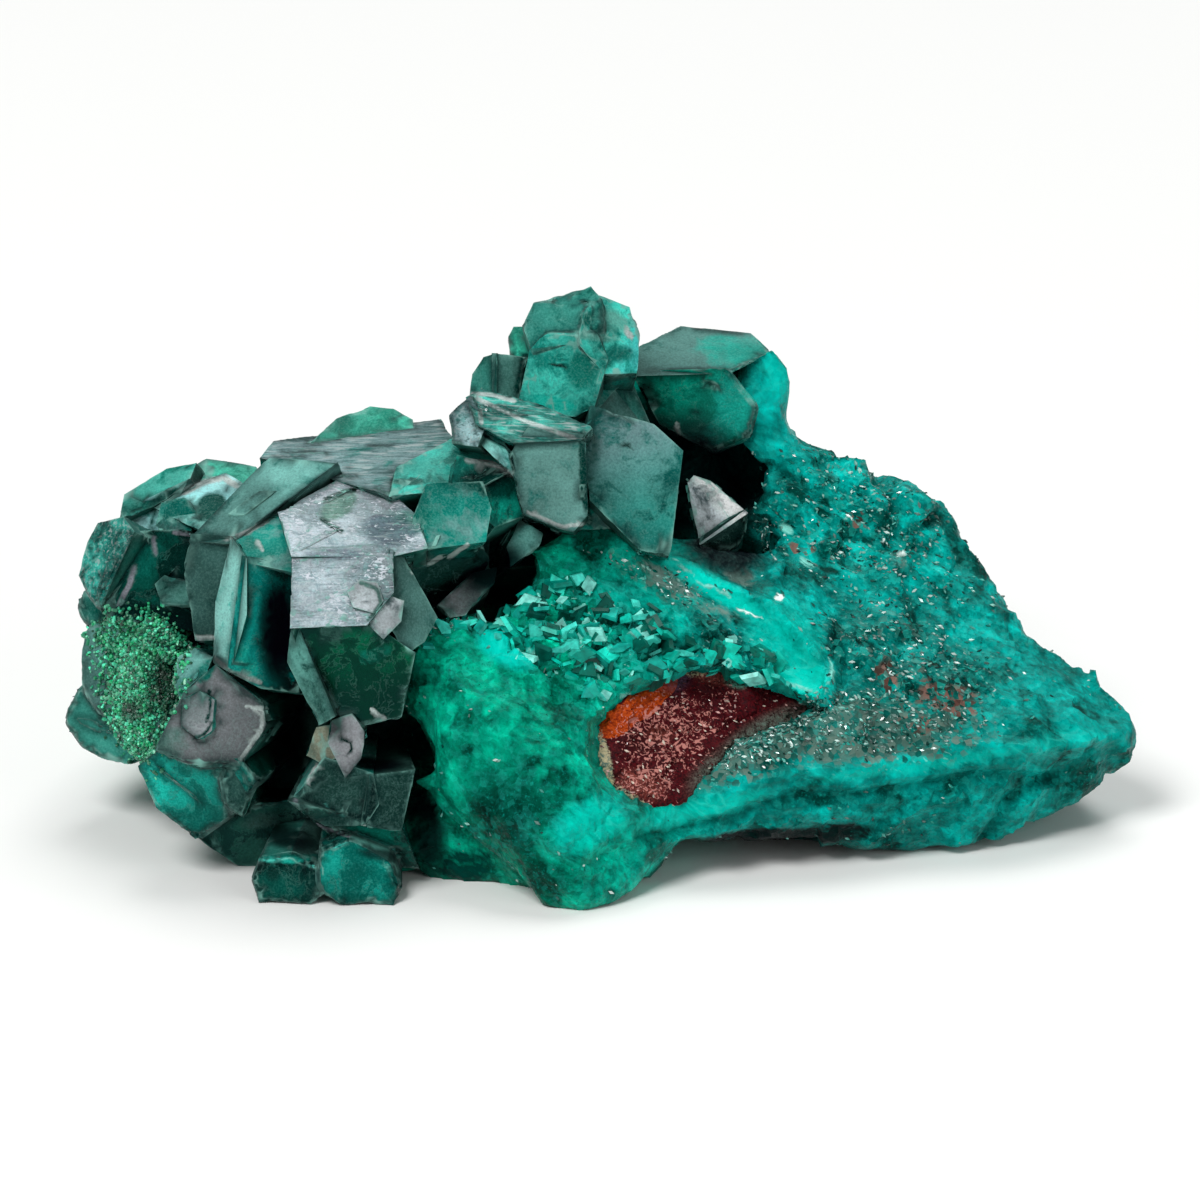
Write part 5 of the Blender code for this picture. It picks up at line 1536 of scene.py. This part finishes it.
@dataclass
class RockPiece:
    """A broken rock surface: an even mesh with layers of facets, grown tight against its neighbours.

    Sizes are in millimetres. The relief is plain_relief, grows by broken_relief in broken places and shrinks
    by calm_relief in calm ones. Near the foot it starts at foot and is whole from foot_rise above that.
    """

    node: str
    slot: str
    body: Body
    voxel: float
    layers: tuple[FacetLayer, ...]
    neighbours: tuple[str, ...] = ()
    seams: tuple[Seam, ...] = ()
    broken: tuple[Spot, ...] = ()
    calm: Marks = ()
    plain_relief: float = 0.6
    broken_relief: float = 1.5
    calm_relief: float = 0.7
    foot: float = 0.15
    foot_rise: float = 0.4
    close_within: float = 0.45
    ease_within: float = 0.85
    sink: float = 0.08
    shade_angle: float = math.radians(32)

    def roughen(self, mesh: Mesh) -> None:
        """Breaks the surface into facets and ledges, and stores how light each is.

        Args:
            mesh: The even mesh.
        """
        points = rows(mesh.vertices, "co")
        normals = rows(mesh.vertex_normals, "vector")
        measured = SIGHT.measure(points)
        shifts = np.zeros((len(points), 2))
        for index, point in enumerate(points):
            place = Vector(point) / MM
            shifts[index] = np.sum([layer.look_up(place) for layer in self.layers], axis=0)
        broken = self.body.weigh(self.broken, measured)
        heights = shifts[:, 0] * (self.plain_relief + self.broken_relief * broken)
        heights *= 1 - self.calm_relief * self.body.weigh(self.calm, measured)
        for seam in self.seams:
            heights += seam.rise * self.body.weigh((seam,), measured)
        free = smooth((points[:, 2] / MM - self.foot) / self.foot_rise)
        points += normals * (heights * free * MM)[:, None]
        store(mesh, "tone", 0.5 + shifts[:, 1])
        mesh.vertices.foreach_set("co", points.ravel())
        mesh.update()

    def close_gaps(self, mesh: Mesh) -> None:
        """Draws the rock onto the neighbours that it grew against.

        Args:
            mesh: The rough mesh.
        """
        for neighbour in self.neighbours:
            bm = merged_copy(neighbour)
            tree = BVHTree.FromBMesh(bm)
            bm.free()
            for vertex in mesh.vertices:
                place, normal, _, distance = tree.find_nearest(vertex.co, self.ease_within * MM)
                if place is None:
                    continue
                full = (self.ease_within - distance / MM) / (self.ease_within - self.close_within)
                share = min(1.0, max(0.0, full))
                vertex.co = vertex.co.lerp(place - normal * self.sink * MM, share)
        mesh.update()

    def dressed_mesh(self) -> Mesh:
        """Makes the rough mesh.

        Returns:
            The mesh, still without its masks.
        """
        mesh = remeshed_copy(self.node, self.voxel)
        self.roughen(mesh)
        self.close_gaps(mesh)
        mesh.shade_smooth()
        mesh.set_sharp_from_angle(angle=self.shade_angle)
        return mesh

    def place(self, mesh: Mesh, masks: tuple[Marks, ...], stains: dict[str, Marks],
              material: Material) -> Object:
        """Stores the masks and sets the piece on its body.

        Args:
            mesh: The rough mesh.
            masks: Groups of marks for the finish's red, green and blue masks and for its places of painted
                light.
            stains: The spots and seams of each stain's colour.
            material: The finish.

        Returns:
            The piece, in place of its node.
        """
        measured = SIGHT.measure(rows(mesh.vertices, "co"))
        channels = [self.body.weigh(spots, measured) for spots in masks]
        # The fourth channel holds painted light, less painted shade, with the seams' painted light and shade
        light = channels.pop()
        light -= self.body.weigh(PAINTED_SHADE_SPOTS, measured)
        for seam in self.seams:
            light += seam.light * self.body.weigh((seam,), measured)
        store(mesh, "broken", self.body.weigh(self.broken, measured) - self.body.weigh(self.calm, measured))
        store(mesh, "stain", self.body.stain(stains, measured))
        store(mesh, "masks", np.stack([*channels, np.clip(0.5 + light / 2, 0, 1)], axis=1))
        store(mesh, "hollow_shade", self.body.weigh(SHADED_HOLLOWS, measured))
        return put_in_scene(self.node + "_skin", mesh, material, self.node)


# Clean dioptase, smoother than the rest; its lighter colour is partly its own and partly a painted glow of
# scattered light
GLOW_SPOTS = (
    Spot(-3.6, 10.3, 1.3, 0.7, -25, 1.0),
    Spot(7.4, 10.4, 1.5, 2.2, 20, 0.6),
    Spot(8.0, 8.9, 1.2, 0.9, 0, 0.8),
    Spot(4.6, 12.7, 2.4, 0.45, -30, 0.9),
    Spot(1.5, 12.0, 2.2, 0.8, -30, 0.3),
    Spot(12.4, 5.6, 4.6, 0.3, 8, 0.4),
    Spot(18.2, 6.6, 2.6, 0.5, 12, 0.3),
    Spot(-0.4, 3.4, 1.8, 1.0, 30, 0.6),
    Spot(4.0, 3.9, 2.6, 0.4, 14, 0.7),
    Spot(7.4, 21.6, 1.0, 1.6, 0, 0.4),
)
# Ground sprinkled with dull and dark grains
SPECKLE_SPOTS = (
    Spot(10.4, 7.0, 5.0, 1.4, 2, 0.9),
    Spot(6.0, 6.2, 2.4, 1.0, 25, 0.9),
    Spot(12.5, 10.2, 3.4, 1.8, -20, 0.3),
    Spot(6.6, 15.6, 1.4, 1.6, 0, 0.3),
    Spot(-6.6, 11.0, 1.6, 0.8, 0, 0.7),
    Spot(2.4, 13.0, 2.2, 0.6, -30, 0.5),
)
# Breaths of iron oxide on the green
RUST_SPOTS = (
    Spot(11.4, 9.2, 0.5, 0.9, 0, 0.9),
    Spot(13.9, 8.3, 1.7, 0.8, -10, 0.85),
    Spot(12.6, 7.2, 1.0, 0.5, 0, 0.7),
    Spot(8.1, 14.3, 0.6, 0.4, 0, 0.8),
    Spot(10.4, 15.4, 0.3, 0.5, 0, 0.8),
    Spot(8.6, 8.0, 1.2, 0.4, -10, 0.7),
)
# Painted light and painted shade on the rock
PAINTED_LIGHT_SPOTS = (
    Spot(10.6, 15.2, 4.0, 2.2, -35, 0.6, 0.8),
    Spot(7.2, 20.0, 1.6, 3.0, 0, 0.25, 0.6),
    Spot(-1.0, 9.6, 1.8, 1.2, -20, 1.0, 0.8),
)
PAINTED_SHADE_SPOTS = (
    Spot(-3.8, 3.8, 2.2, 2.4, 20, 1.0, 0.8),
    Spot(-1.8, 1.2, 1.6, 1.0, 10, 0.6, 0.8),
    Spot(1.8, 11.2, 1.0, 0.6, -20, 0.6, 0.8),
    Spot(5.4, 9.8, 1.8, 0.9, -30, 0.6, 0.8),
    Spot(12.2, 13.4, 0.5, 0.35, 0, 1.0, 0.5),
    Spot(9.0, 10.4, 0.35, 1.4, -30, 0.8, 0.6),
    Spot(14.6, 8.9, 1.2, 0.3, -15, 0.9, 0.6),
    Spot(9.6, 2.6, 4.2, 0.8, 4, 0.7, 0.8),
    Spot(14.0, 9.4, 2.2, 1.2, -10, 0.4, 0.8),
    Spot(-1.4, 12.8, 2.4, 0.8, -10, 0.7, 0.8),
    Spot(6.4, 17.0, 0.8, 1.6, 0, 0.6, 0.8),
    Spot(10.8, 12.6, 2.6, 0.5, -12, 0.35, 0.8),
)
# Patches, cracks and white bruises of the mass, and painted shade under its lower edge
MASS_STAINS_AND_SHADE = {
    "#5b766e": (
        Spot(5.55, 13.25, 0.8, 0.45, -35, 0.9, 0.4, 1.2), Spot(2.6, 13.0, 1.4, 0.35, -32, 0.8),
        Spot(-4.6, 12.0, 1.3, 0.4, -15, 0.7), Spot(4.6, 11.7, 1.0, 0.5, -20, 0.5),
        Spot(5.4, 6.4, 1.6, 0.6, 25, 0.6),
        Spot(12.0, 13.8, 0.5, 0.4, 0, 0.6), Spot(10.9, 17.5, 0.5, 0.3, -30, 0.6),
    ),
    # Painted shade under the lower edge of the mass
    "#07070b": (Spot(6.2, 2.65, 2.4, 0.5, 4, 1.0, 0.3, 6.0), Spot(9.2, 2.9, 2.0, 0.45, 4, 0.85, 0.4, 6.0)),
    "#00322b": (
        Spot(1.8, 10.8, 0.4, 0.35, 20, 0.9), Spot(-2.0, 9.9, 0.7, 0.35, 20, 0.7),
        Spot(3.4, 10.3, 0.35, 0.25, 0, 0.9),
        Spot(9.0, 15.9, 0.4, 0.6, 0, 0.7), Spot(7.9, 16.8, 0.5, 0.7, 30, 0.7),
        Spot(9.2, 13.4, 0.5, 0.2, -20, 0.9),
        Spot(-5.4, 1.6, 1.2, 0.8, 10, 0.8), Spot(-3.2, 3.0, 0.5, 1.2, 30, 0.5),
    ),
    "#7fd6c8": (
        Spot(-1.0, 10.6, 0.5, 0.16, -40, 0.8), Spot(1.0, 8.4, 0.35, 0.2, 20, 0.8),
        Spot(0.2, 9.2, 0.5, 0.14, 10, 0.8),
        Spot(7.5, 15.1, 0.35, 0.2, -40, 0.9), Spot(8.3, 13.7, 0.4, 0.14, -35, 0.8),
        Spot(2.3, 9.0, 0.3, 0.14, -30, 0.7),
        Seam(((2.8, 14.0), (4.0, 12.9), (5.2, 12.4)), 0.14),
        Seam(((6.6, 9.6), (7.4, 8.9), (8.4, 8.6)), 0.16),
        Seam(((9.1, 10.0), (9.3, 9.3), (8.9, 8.5)), 0.13), Spot(-2.9, 10.2, 0.5, 0.25, -20, 0.7),
    ),
    "#e4f2ee": (
        Spot(7.15, 12.3, 0.22, 0.14, 20, 1.0), Seam(((6.6, 14.3), (7.1, 13.8)), 0.09),
        Spot(9.5, 18.05, 0.16, 0.08, 0, 1.0), Spot(11.4, 14.6, 0.14, 0.08, 0, 1.0),
        Seam(((5.4, 11.9), (6.6, 11.4)), 0.08), Spot(12.2, 14.1, 0.2, 0.1, 0, 0.9),
    ),
}
# Grey, dark, pink and green patches of the oxide
OXIDE_STAINS = {
    "#5b6f64": (Spot(6.4, 6.9, 1.9, 0.5, 30, 1.0, 0.5), Spot(4.4, 5.3, 1.4, 0.6, 40, 1.0, 0.5)),
    "#1a0304": (Spot(1.7, 6.6, 0.9, 0.5, 10, 0.8), Spot(4.4, 8.4, 1.0, 0.4, -20, 0.5)),
    "#a2584a": (
        Spot(1.6, 4.9, 0.9, 0.5, -20, 0.45), Spot(2.4, 6.9, 0.5, 0.3, 0, 0.4),
        Spot(4.4, 9.2, 0.8, 0.3, -15, 0.5),
    ),
    "#4f4a63": (Spot(3.0, 9.0, 0.6, 0.4, 30, 0.7),),
    "#3fae98": (Spot(5.4, 8.9, 0.4, 0.2, -15, 0.7),),
}
# Freshly broken rock with coarse facets, and smooth rock without
BROKEN_SPOTS = (
    Spot(-0.6, 10.8, 3.6, 1.9, -15, 1.0, 0.5),
    Spot(5.4, 9.8, 2.0, 1.2, -30, 0.8, 0.5),
    Spot(10.6, 15.6, 4.0, 2.2, -35, 0.6, 0.5),
    Spot(12.6, 9.6, 3.6, 1.6, -20, 0.6, 0.5),
    Spot(-6.2, 11.0, 1.6, 0.8, 0, 1.0, 0.5),
)
CALM_MARKS = (
    Seam(((2.0, 3.8), (8.0, 5.2), (13.0, 5.7), (18.0, 6.6), (21.0, 6.9)), 1.7, deep=4.0),
    Spot(7.3, 20.4, 1.8, 2.8, 0, 1.0, 0.5), Spot(-4.2, 5.2, 2.6, 3.2, 20, 0.6, 0.5),
)
# Ridges and grooves of the mass, with painted light on the ridges and painted shade in the grooves
MASS_SEAMS = (
    Seam(((2.6, 14.3), (4.2, 12.9), (6.6, 12.1), (8.2, 10.4), (9.2, 9.0), (9.0, 8.2)), 0.4, 0.3, 0.6),
    Seam(((9.4, 10.8), (9.7, 9.6), (9.4, 8.2)), 0.35, -0.35, -0.8),
    Seam(((-4.4, 11.4), (-3.2, 10.5), (-2.2, 9.8), (-1.6, 8.4)), 0.45, -0.45, -0.9),
    Seam(((-4.8, 11.0), (-3.4, 10.3), (-2.6, 9.5)), 0.4, 0.25, 0.5),
    Seam(
        ((0.8, 3.6), (4.0, 4.2), (7.6, 5.4), (10.4, 5.5), (14.4, 6.4), (17.6, 6.3), (20.8, 6.8)),
        0.45, 0.3, 0.5),
    Seam(((1.6, 2.9), (4.4, 3.3), (7.6, 4.4), (11.0, 4.5), (15.0, 5.2), (18.0, 5.0)), 0.4, -0.3, -0.5),
    Seam(((3.0, 7.8), (5.0, 9.2), (6.4, 8.4), (8.6, 8.0)), 0.4, 0.25, 0.5),
    Seam(((0.6, 10.6), (1.8, 10.0), (2.6, 10.6), (3.6, 10.2)), 0.35, -0.35, -0.8),
    Seam(((-1.6, 11.4), (-0.2, 10.6), (0.6, 11.2)), 0.3, -0.3, -0.7),
    Seam(((-6.5, 7.8), (-6.1, 5.6), (-5.0, 3.6), (-3.2, 1.9)), 0.6, 0.0, 0.35),
    Seam(((15.4, 2.6), (16.4, 4.2), (18.2, 5.2)), 0.4, -0.3, -0.4),
    Seam(((10.6, 2.6), (12.6, 4.0), (14.4, 4.4)), 0.35, 0.25, 0.4),
    Seam(((6.8, 17.6), (8.6, 16.6), (11.2, 15.2), (13.4, 14.2)), 0.35, -0.3, -0.5),
    Seam(((11.3, 17.1), (11.8, 16.5), (11.9, 15.9)), 0.35, -0.55, -0.7),
    Seam(((13.6, 15.6), (13.2, 15.2), (12.6, 15.0)), 0.35, -0.45, -0.6),
    Seam(((12.3, 16.6), (13.0, 16.0)), 0.6, 0.3, 0.3),
)
# The clean orange band, the grey and cream rim, and the pink specks
BAND_SPOTS = (
    Spot(0.6, 7.4, 0.95, 0.62, 25, 1.0, 0.25),
    Spot(1.7, 8.1, 1.0, 0.6, 35, 1.0, 0.25),
    Spot(2.5, 8.8, 0.7, 0.5, 45, 1.0, 0.25),
)
FRINGE_SPOTS = (
    Spot(0.1, 5.8, 0.4, 1.5, 12, 0.75, 0.8),
    Spot(1.2, 4.3, 1.3, 0.35, -35, 0.6, 0.8),
    Spot(3.8, 9.3, 0.8, 0.25, 0, 0.5, 0.8),
)
SPECK_SPOTS = (
    Spot(2.6, 7.0, 2.0, 1.6, 0, 1.0),
    Spot(1.8, 5.2, 1.2, 1.0, 0, 1.0),
    Spot(4.6, 8.0, 1.2, 1.0, 0, 0.6),
)


def scatter(mesh: Mesh, seed: int, count: int, weights: np.ndarray) -> list[tuple[Vector, Vector]]:
    """Spreads places over a mesh, more of them where the weights are high.

    Args:
        mesh: The mesh.
        seed: The seed of the random draw.
        count: How many places.
        weights: The density at each face.

    Returns:
        Places with the surface's normal there.
    """
    areas = np.empty(len(mesh.polygons))
    mesh.polygons.foreach_get("area", areas)
    chances = np.cumsum(areas * weights)
    rng = np.random.default_rng(seed)
    picked = np.searchsorted(chances, rng.random(count) * chances[-1])
    places = []
    for index, (a, b) in zip(picked, rng.random((count, 2))):
        polygon = mesh.polygons[int(min(index, len(areas) - 1))]
        corners = [mesh.vertices[vertex].co for vertex in polygon.vertices[:3]]
        if a + b > 1:
            a, b = 1 - a, 1 - b
        place = corners[0] + (corners[1] - corners[0]) * float(a) + (corners[2] - corners[0]) * float(b)
        places.append((place, polygon.normal.copy()))
    return places


@dataclass
class Druse:
    """A crust of tiny bright green crystals over the mound on the lower left."""

    body: Body
    count: int = 7600
    place_seed: int = 5
    seed: int = 11
    lean: float = 0.45
    widths: tuple[float, float] = (0.06, 0.17)
    # Lengths as shares of the width, and the tones that the colours are drawn in
    lengths: tuple[float, float] = (0.7, 1.5)
    tones: tuple[float, float] = (0.7, 2.3)
    colors: tuple[str, ...] = ("#0f6b4a", "#1f8a66", "#3fae8a", "#4a9a78", "#0a4a34", "#1f6e50", "#128a58")
    mound: Marks = (
        Spot(-18.2, 9.2, 1.5, 1.9, 10, 1.0, 0.8, 3.5),
        Spot(-18.3, 7.0, 1.2, 1.4, 10, 0.6, 0.9, 2.5),
        Spot(-19.4, 10.6, 0.8, 0.9, 0, 0.5, 0.8, 2.5),
    )
    # Places of the druse painted in shade
    shade: Marks = (Spot(-17.3, 8.7, 0.6, 1.2, 10, 0.85, 0.6), Spot(-18.6, 7.8, 0.35, 0.4, 0, 0.8, 0.6))

    def build(self, carrier: Object, material: Material) -> Object:
        """Grows the crust on the dressed cluster.

        Args:
            carrier: The cluster's piece.
            material: The finish.

        Returns:
            The piece.
        """
        weights = self.body.weigh(self.mound, SIGHT.measure(rows(carrier.data.polygons, "center")))
        rng = random.Random(self.seed)
        shape = Shape()
        places = scatter(carrier.data, self.place_seed, self.count, weights)
        shades = self.body.weigh(self.shade, SIGHT.measure(np.array([place for place, _ in places])))
        for (place, normal), shade in zip(places, shades):
            lean = Vector([rng.gauss(0, self.lean) for _ in range(3)])
            direction = (normal + lean).normalized()
            width = rng.uniform(*self.widths) * MM
            length = width * rng.uniform(*self.lengths)
            tone = rng.uniform(*self.tones) * (1 - shade)
            tint = tuple(channel * tone for channel in linear(rng.choice(self.colors)))
            shape.add_prism(place - direction * width * 0.5, place + direction * length, width,
                            rng.uniform(0, 1), (*tint, 1.0))
        return put_in_scene("druse", shape.finish("druse"), material)


# The cleavage of the mass runs down to the right in the picture
GROWTH_DIRECTION = Vector((0.82, 0.1, -0.56))


@dataclass
class Flecks:
    """Small flat cleavage chips that stand in a rock surface and flash."""

    name: str
    slot: str
    count: int
    sizes: tuple[float, float]
    colors: tuple[str, ...]
    lean: float = 0.5
    seed: int = 21
    # Half width and half thickness as shares of the length, and how far the length strays from the cleavage
    slim: float = 0.22
    thick: float = 0.1
    stray: float = 0.35
    tones: tuple[float, float] = (0.7, 1.2)
    # The lowest place that a chip stands at, and how far out it stands as a share of its length
    lowest: float = 0.3
    proud: float = 0.03

    def build(self, carrier: Object, weights: np.ndarray, material: Material) -> Object:
        """Sets the chips on a dressed piece.

        Args:
            carrier: The piece that they stand in.
            weights: Their density at each face.
            material: The finish.

        Returns:
            The piece.
        """
        rng = random.Random(self.seed)
        shape = Shape()
        for place, normal in scatter(carrier.data, self.seed, self.count, weights):
            if place.z < self.lowest * MM:
                continue
            lean = Vector([rng.gauss(0, self.lean) for _ in range(3)])
            size = rng.uniform(*self.sizes) * MM
            tone = rng.uniform(*self.tones)
            tint = tuple(channel * tone for channel in linear(rng.choice(self.colors)))
            facing = (normal + lean).normalized()
            wander = Vector([rng.gauss(0, self.stray) for _ in range(3)])
            along = facing.cross(facing.cross(GROWTH_DIRECTION + wander)).normalized()
            middle = place + normal * size * self.proud
            shape.add_chip(middle, facing, along, (size, size * self.slim, size * self.thick), (*tint, 1.0))
        return put_in_scene(self.name, shape.finish(self.name), material)


@dataclass
class Studio:
    """A pale table, soft lights and the camera at the picture's angle. Sizes are in metres."""

    table: float = 12.0
    distance: float = 0.40
    view_width: float = 0.048
    sensor: float = 36.0
    # What the camera looks at, across, up and near in millimetres, and what the lights look at
    aim: Triple = (0.0, 12.2, -6.0)
    lit: Triple = (0.0, 0.0, 0.01)
    air: str = "#eef2f4"
    air_light: float = 0.25
    backdrop: str = "#fbfbfa"

    def lay_table(self) -> None:
        """Lays the board that the specimen rests on."""
        bm = bmesh.new()
        bmesh.ops.create_grid(bm, x_segments=8, y_segments=8, size=self.table / 2)
        mesh = bpy.data.meshes.new("table")
        bm.to_mesh(mesh)
        bm.free()
        board = bpy.data.objects.new("table", mesh)
        bpy.context.scene.collection.objects.link(board)
        mesh.materials.append(PaintedBoard().make())

    def hang_light(self, name: str, place: Triple, size: float, power: float,
                   color: str = "#ffffff") -> None:
        """Hangs one soft light that looks at the specimen.

        Args:
            name: The light's name.
            place: Its place in metres.
            size: The side of its soft box in metres.
            power: Its power in watts.
            color: Its colour.
        """
        light = bpy.data.lights.new(name, "AREA")
        light.size = size
        light.energy = power
        light.color = linear(color)
        holder = bpy.data.objects.new(name, light)
        holder.location = place
        holder.rotation_euler = (Vector(self.lit) - Vector(place)).to_track_quat("-Z", "Y").to_euler()
        bpy.context.scene.collection.objects.link(holder)

    def fill_air(self) -> None:
        """Makes the surroundings white to look at and dimmer as a light."""
        world = bpy.data.worlds.new("studio")
        world.use_nodes = True
        tree = world.node_tree
        tree.nodes.clear()
        path = add_node(tree, "LightPath")
        dim = add_node(tree, "Background", {"Color": opaque(self.air), "Strength": self.air_light})
        seen = add_node(tree, "Background", {"Color": opaque(self.backdrop), "Strength": 1.0})
        both = add_node(tree, "MixShader", {0: path.outputs["Is Camera Ray"], 1: dim, 2: seen})
        add_node(tree, "OutputWorld", {"Surface": both})
        bpy.context.scene.world = world

    def set_camera(self) -> None:
        """Sets up the camera at the picture's angle and framing."""
        data = bpy.data.cameras.new("camera")
        data.sensor_width = self.sensor
        data.lens = self.sensor * self.distance / self.view_width
        data.clip_start = 0.01
        data.clip_end = 50.0
        camera = bpy.data.objects.new("camera", data)
        target = SIGHT.place(*self.aim)
        camera.location = target + SIGHT.towards() * self.distance
        camera.rotation_euler = (-SIGHT.towards()).to_track_quat("-Z", "Y").to_euler()
        bpy.context.scene.collection.objects.link(camera)
        bpy.context.scene.camera = camera

    def build(self) -> None:
        """Sets up the whole studio."""
        self.set_camera()
        self.lay_table()
        self.hang_light("key", (-0.28, -0.42, 0.62), 0.3, 4.6)
        self.hang_light("fill", (0.55, -0.5, 0.3), 0.5, 1.2)
        self.hang_light("top", (0.1, 0.25, 0.7), 0.4, 2.4)
        self.fill_air()
        bpy.context.scene.view_settings.view_transform = "Standard"


def main() -> None:
    """Builds the studio and every piece of the specimen in order."""
    logging.basicConfig(level=logging.INFO, format="%(name)s: %(message)s")
    Studio().build()
    body = Body(frame["nodes"])
    crystal = DioptaseCrystal().make()
    chip = CleavageChip().make()

    cluster = CrystalPiece("crystal_cluster", "dark_dioptase_crystal", body, plates=160).build(crystal)
    CrystalPiece("shoulder_crystal", "veiled_dioptase_crystal", body, plates=3, seed=8).build(crystal)
    CrystalPiece("cavity_crystal", "grey_dioptase_crystal", body, plates=26, plate_sizes=(0.5, 1.6),
                 plate_height=0.11, seed=9, shaded_hollows=()).build(crystal)
    Druse(body).build(cluster, CleavageChip("druse_crystal", rough=0.4).make())

    layers = (FacetLayer(2.3, 0.2, 0.22, 0.25), FacetLayer(1.1, 0.14, 0.35, 0.45),
              FacetLayer(0.55, 0.06, 0.25, 0.35))
    neighbours = ("crystal_cluster", "shoulder_crystal", "cavity_crystal", "iron_oxide_crust")
    rock = RockPiece("dioptase_mass", "granular_dioptase", body, 0.205, layers, neighbours, MASS_SEAMS,
                     BROKEN_SPOTS, CALM_MARKS)
    masks = (GLOW_SPOTS, SPECKLE_SPOTS, RUST_SPOTS, PAINTED_LIGHT_SPOTS)
    mass = rock.place(rock.dressed_mesh(), masks, MASS_STAINS_AND_SHADE, GranularDioptase().make())
    measured = SIGHT.measure(rows(mass.data.polygons, "center"))
    shown = 1 - body.weigh(SHADED_HOLLOWS, measured)
    density = 0.04 + 2.0 * body.weigh(SPECKLE_SPOTS, measured) + body.weigh(PAINTED_LIGHT_SPOTS[:1], measured)
    density *= shown * (1 - body.weigh(CALM_MARKS, measured))
    colors = ("#7fb8ac", "#4fa699", "#1f8f82", "#c5dcd6", "#0c7568", "#00574c", "#003a33", "#5f7f78")
    flecks = Flecks("cleavage_flecks", "granular_dioptase", 5200, (0.08, 0.32), colors)
    flecks.build(mass, density, chip)

    colors = ("#00b09a", "#009381", "#12cbb4", "#006354", "#3fd2c0", "#7fe0d2", "#005347", "#14a898")
    shards = Flecks("cleaved_shards", "granular_dioptase", 360, (0.3, 1.3), colors, lean=0.32, seed=45,
                    slim=0.36, thick=0.07, stray=0.8)
    density = shown * body.weigh(BROKEN_SPOTS[:2] + BROKEN_SPOTS[4:], measured)
    shards.build(mass, density, CleavageChip("cleaved_shard", rough=0.34, shine=0.12).make())

    layers = (FacetLayer(0.8, 0.3, 0.3), FacetLayer(0.35, 0.16, 0.3))
    oxide = RockPiece("iron_oxide_crust", "red_iron_oxide", body, 0.1, layers)
    masks = (BAND_SPOTS, FRINGE_SPOTS, SPECK_SPOTS, ())
    crust = oxide.place(oxide.dressed_mesh(), masks, OXIDE_STAINS, IronOxideCrust().make())
    measured = SIGHT.measure(rows(crust.data.polygons, "center"))
    density = 0.3 + body.weigh(SPECK_SPOTS, measured) - body.weigh(BAND_SPOTS, measured)
    colors = ("#c79a94", "#8f4a48", "#d8c8b8", "#5a1418")
    crumbs = Flecks("oxide_crumbs", "red_iron_oxide", 420, (0.08, 0.26), colors, seed=31)
    crumbs.build(crust, np.clip(density, 0, 2), chip)


if __name__ == "__main__":
    main()
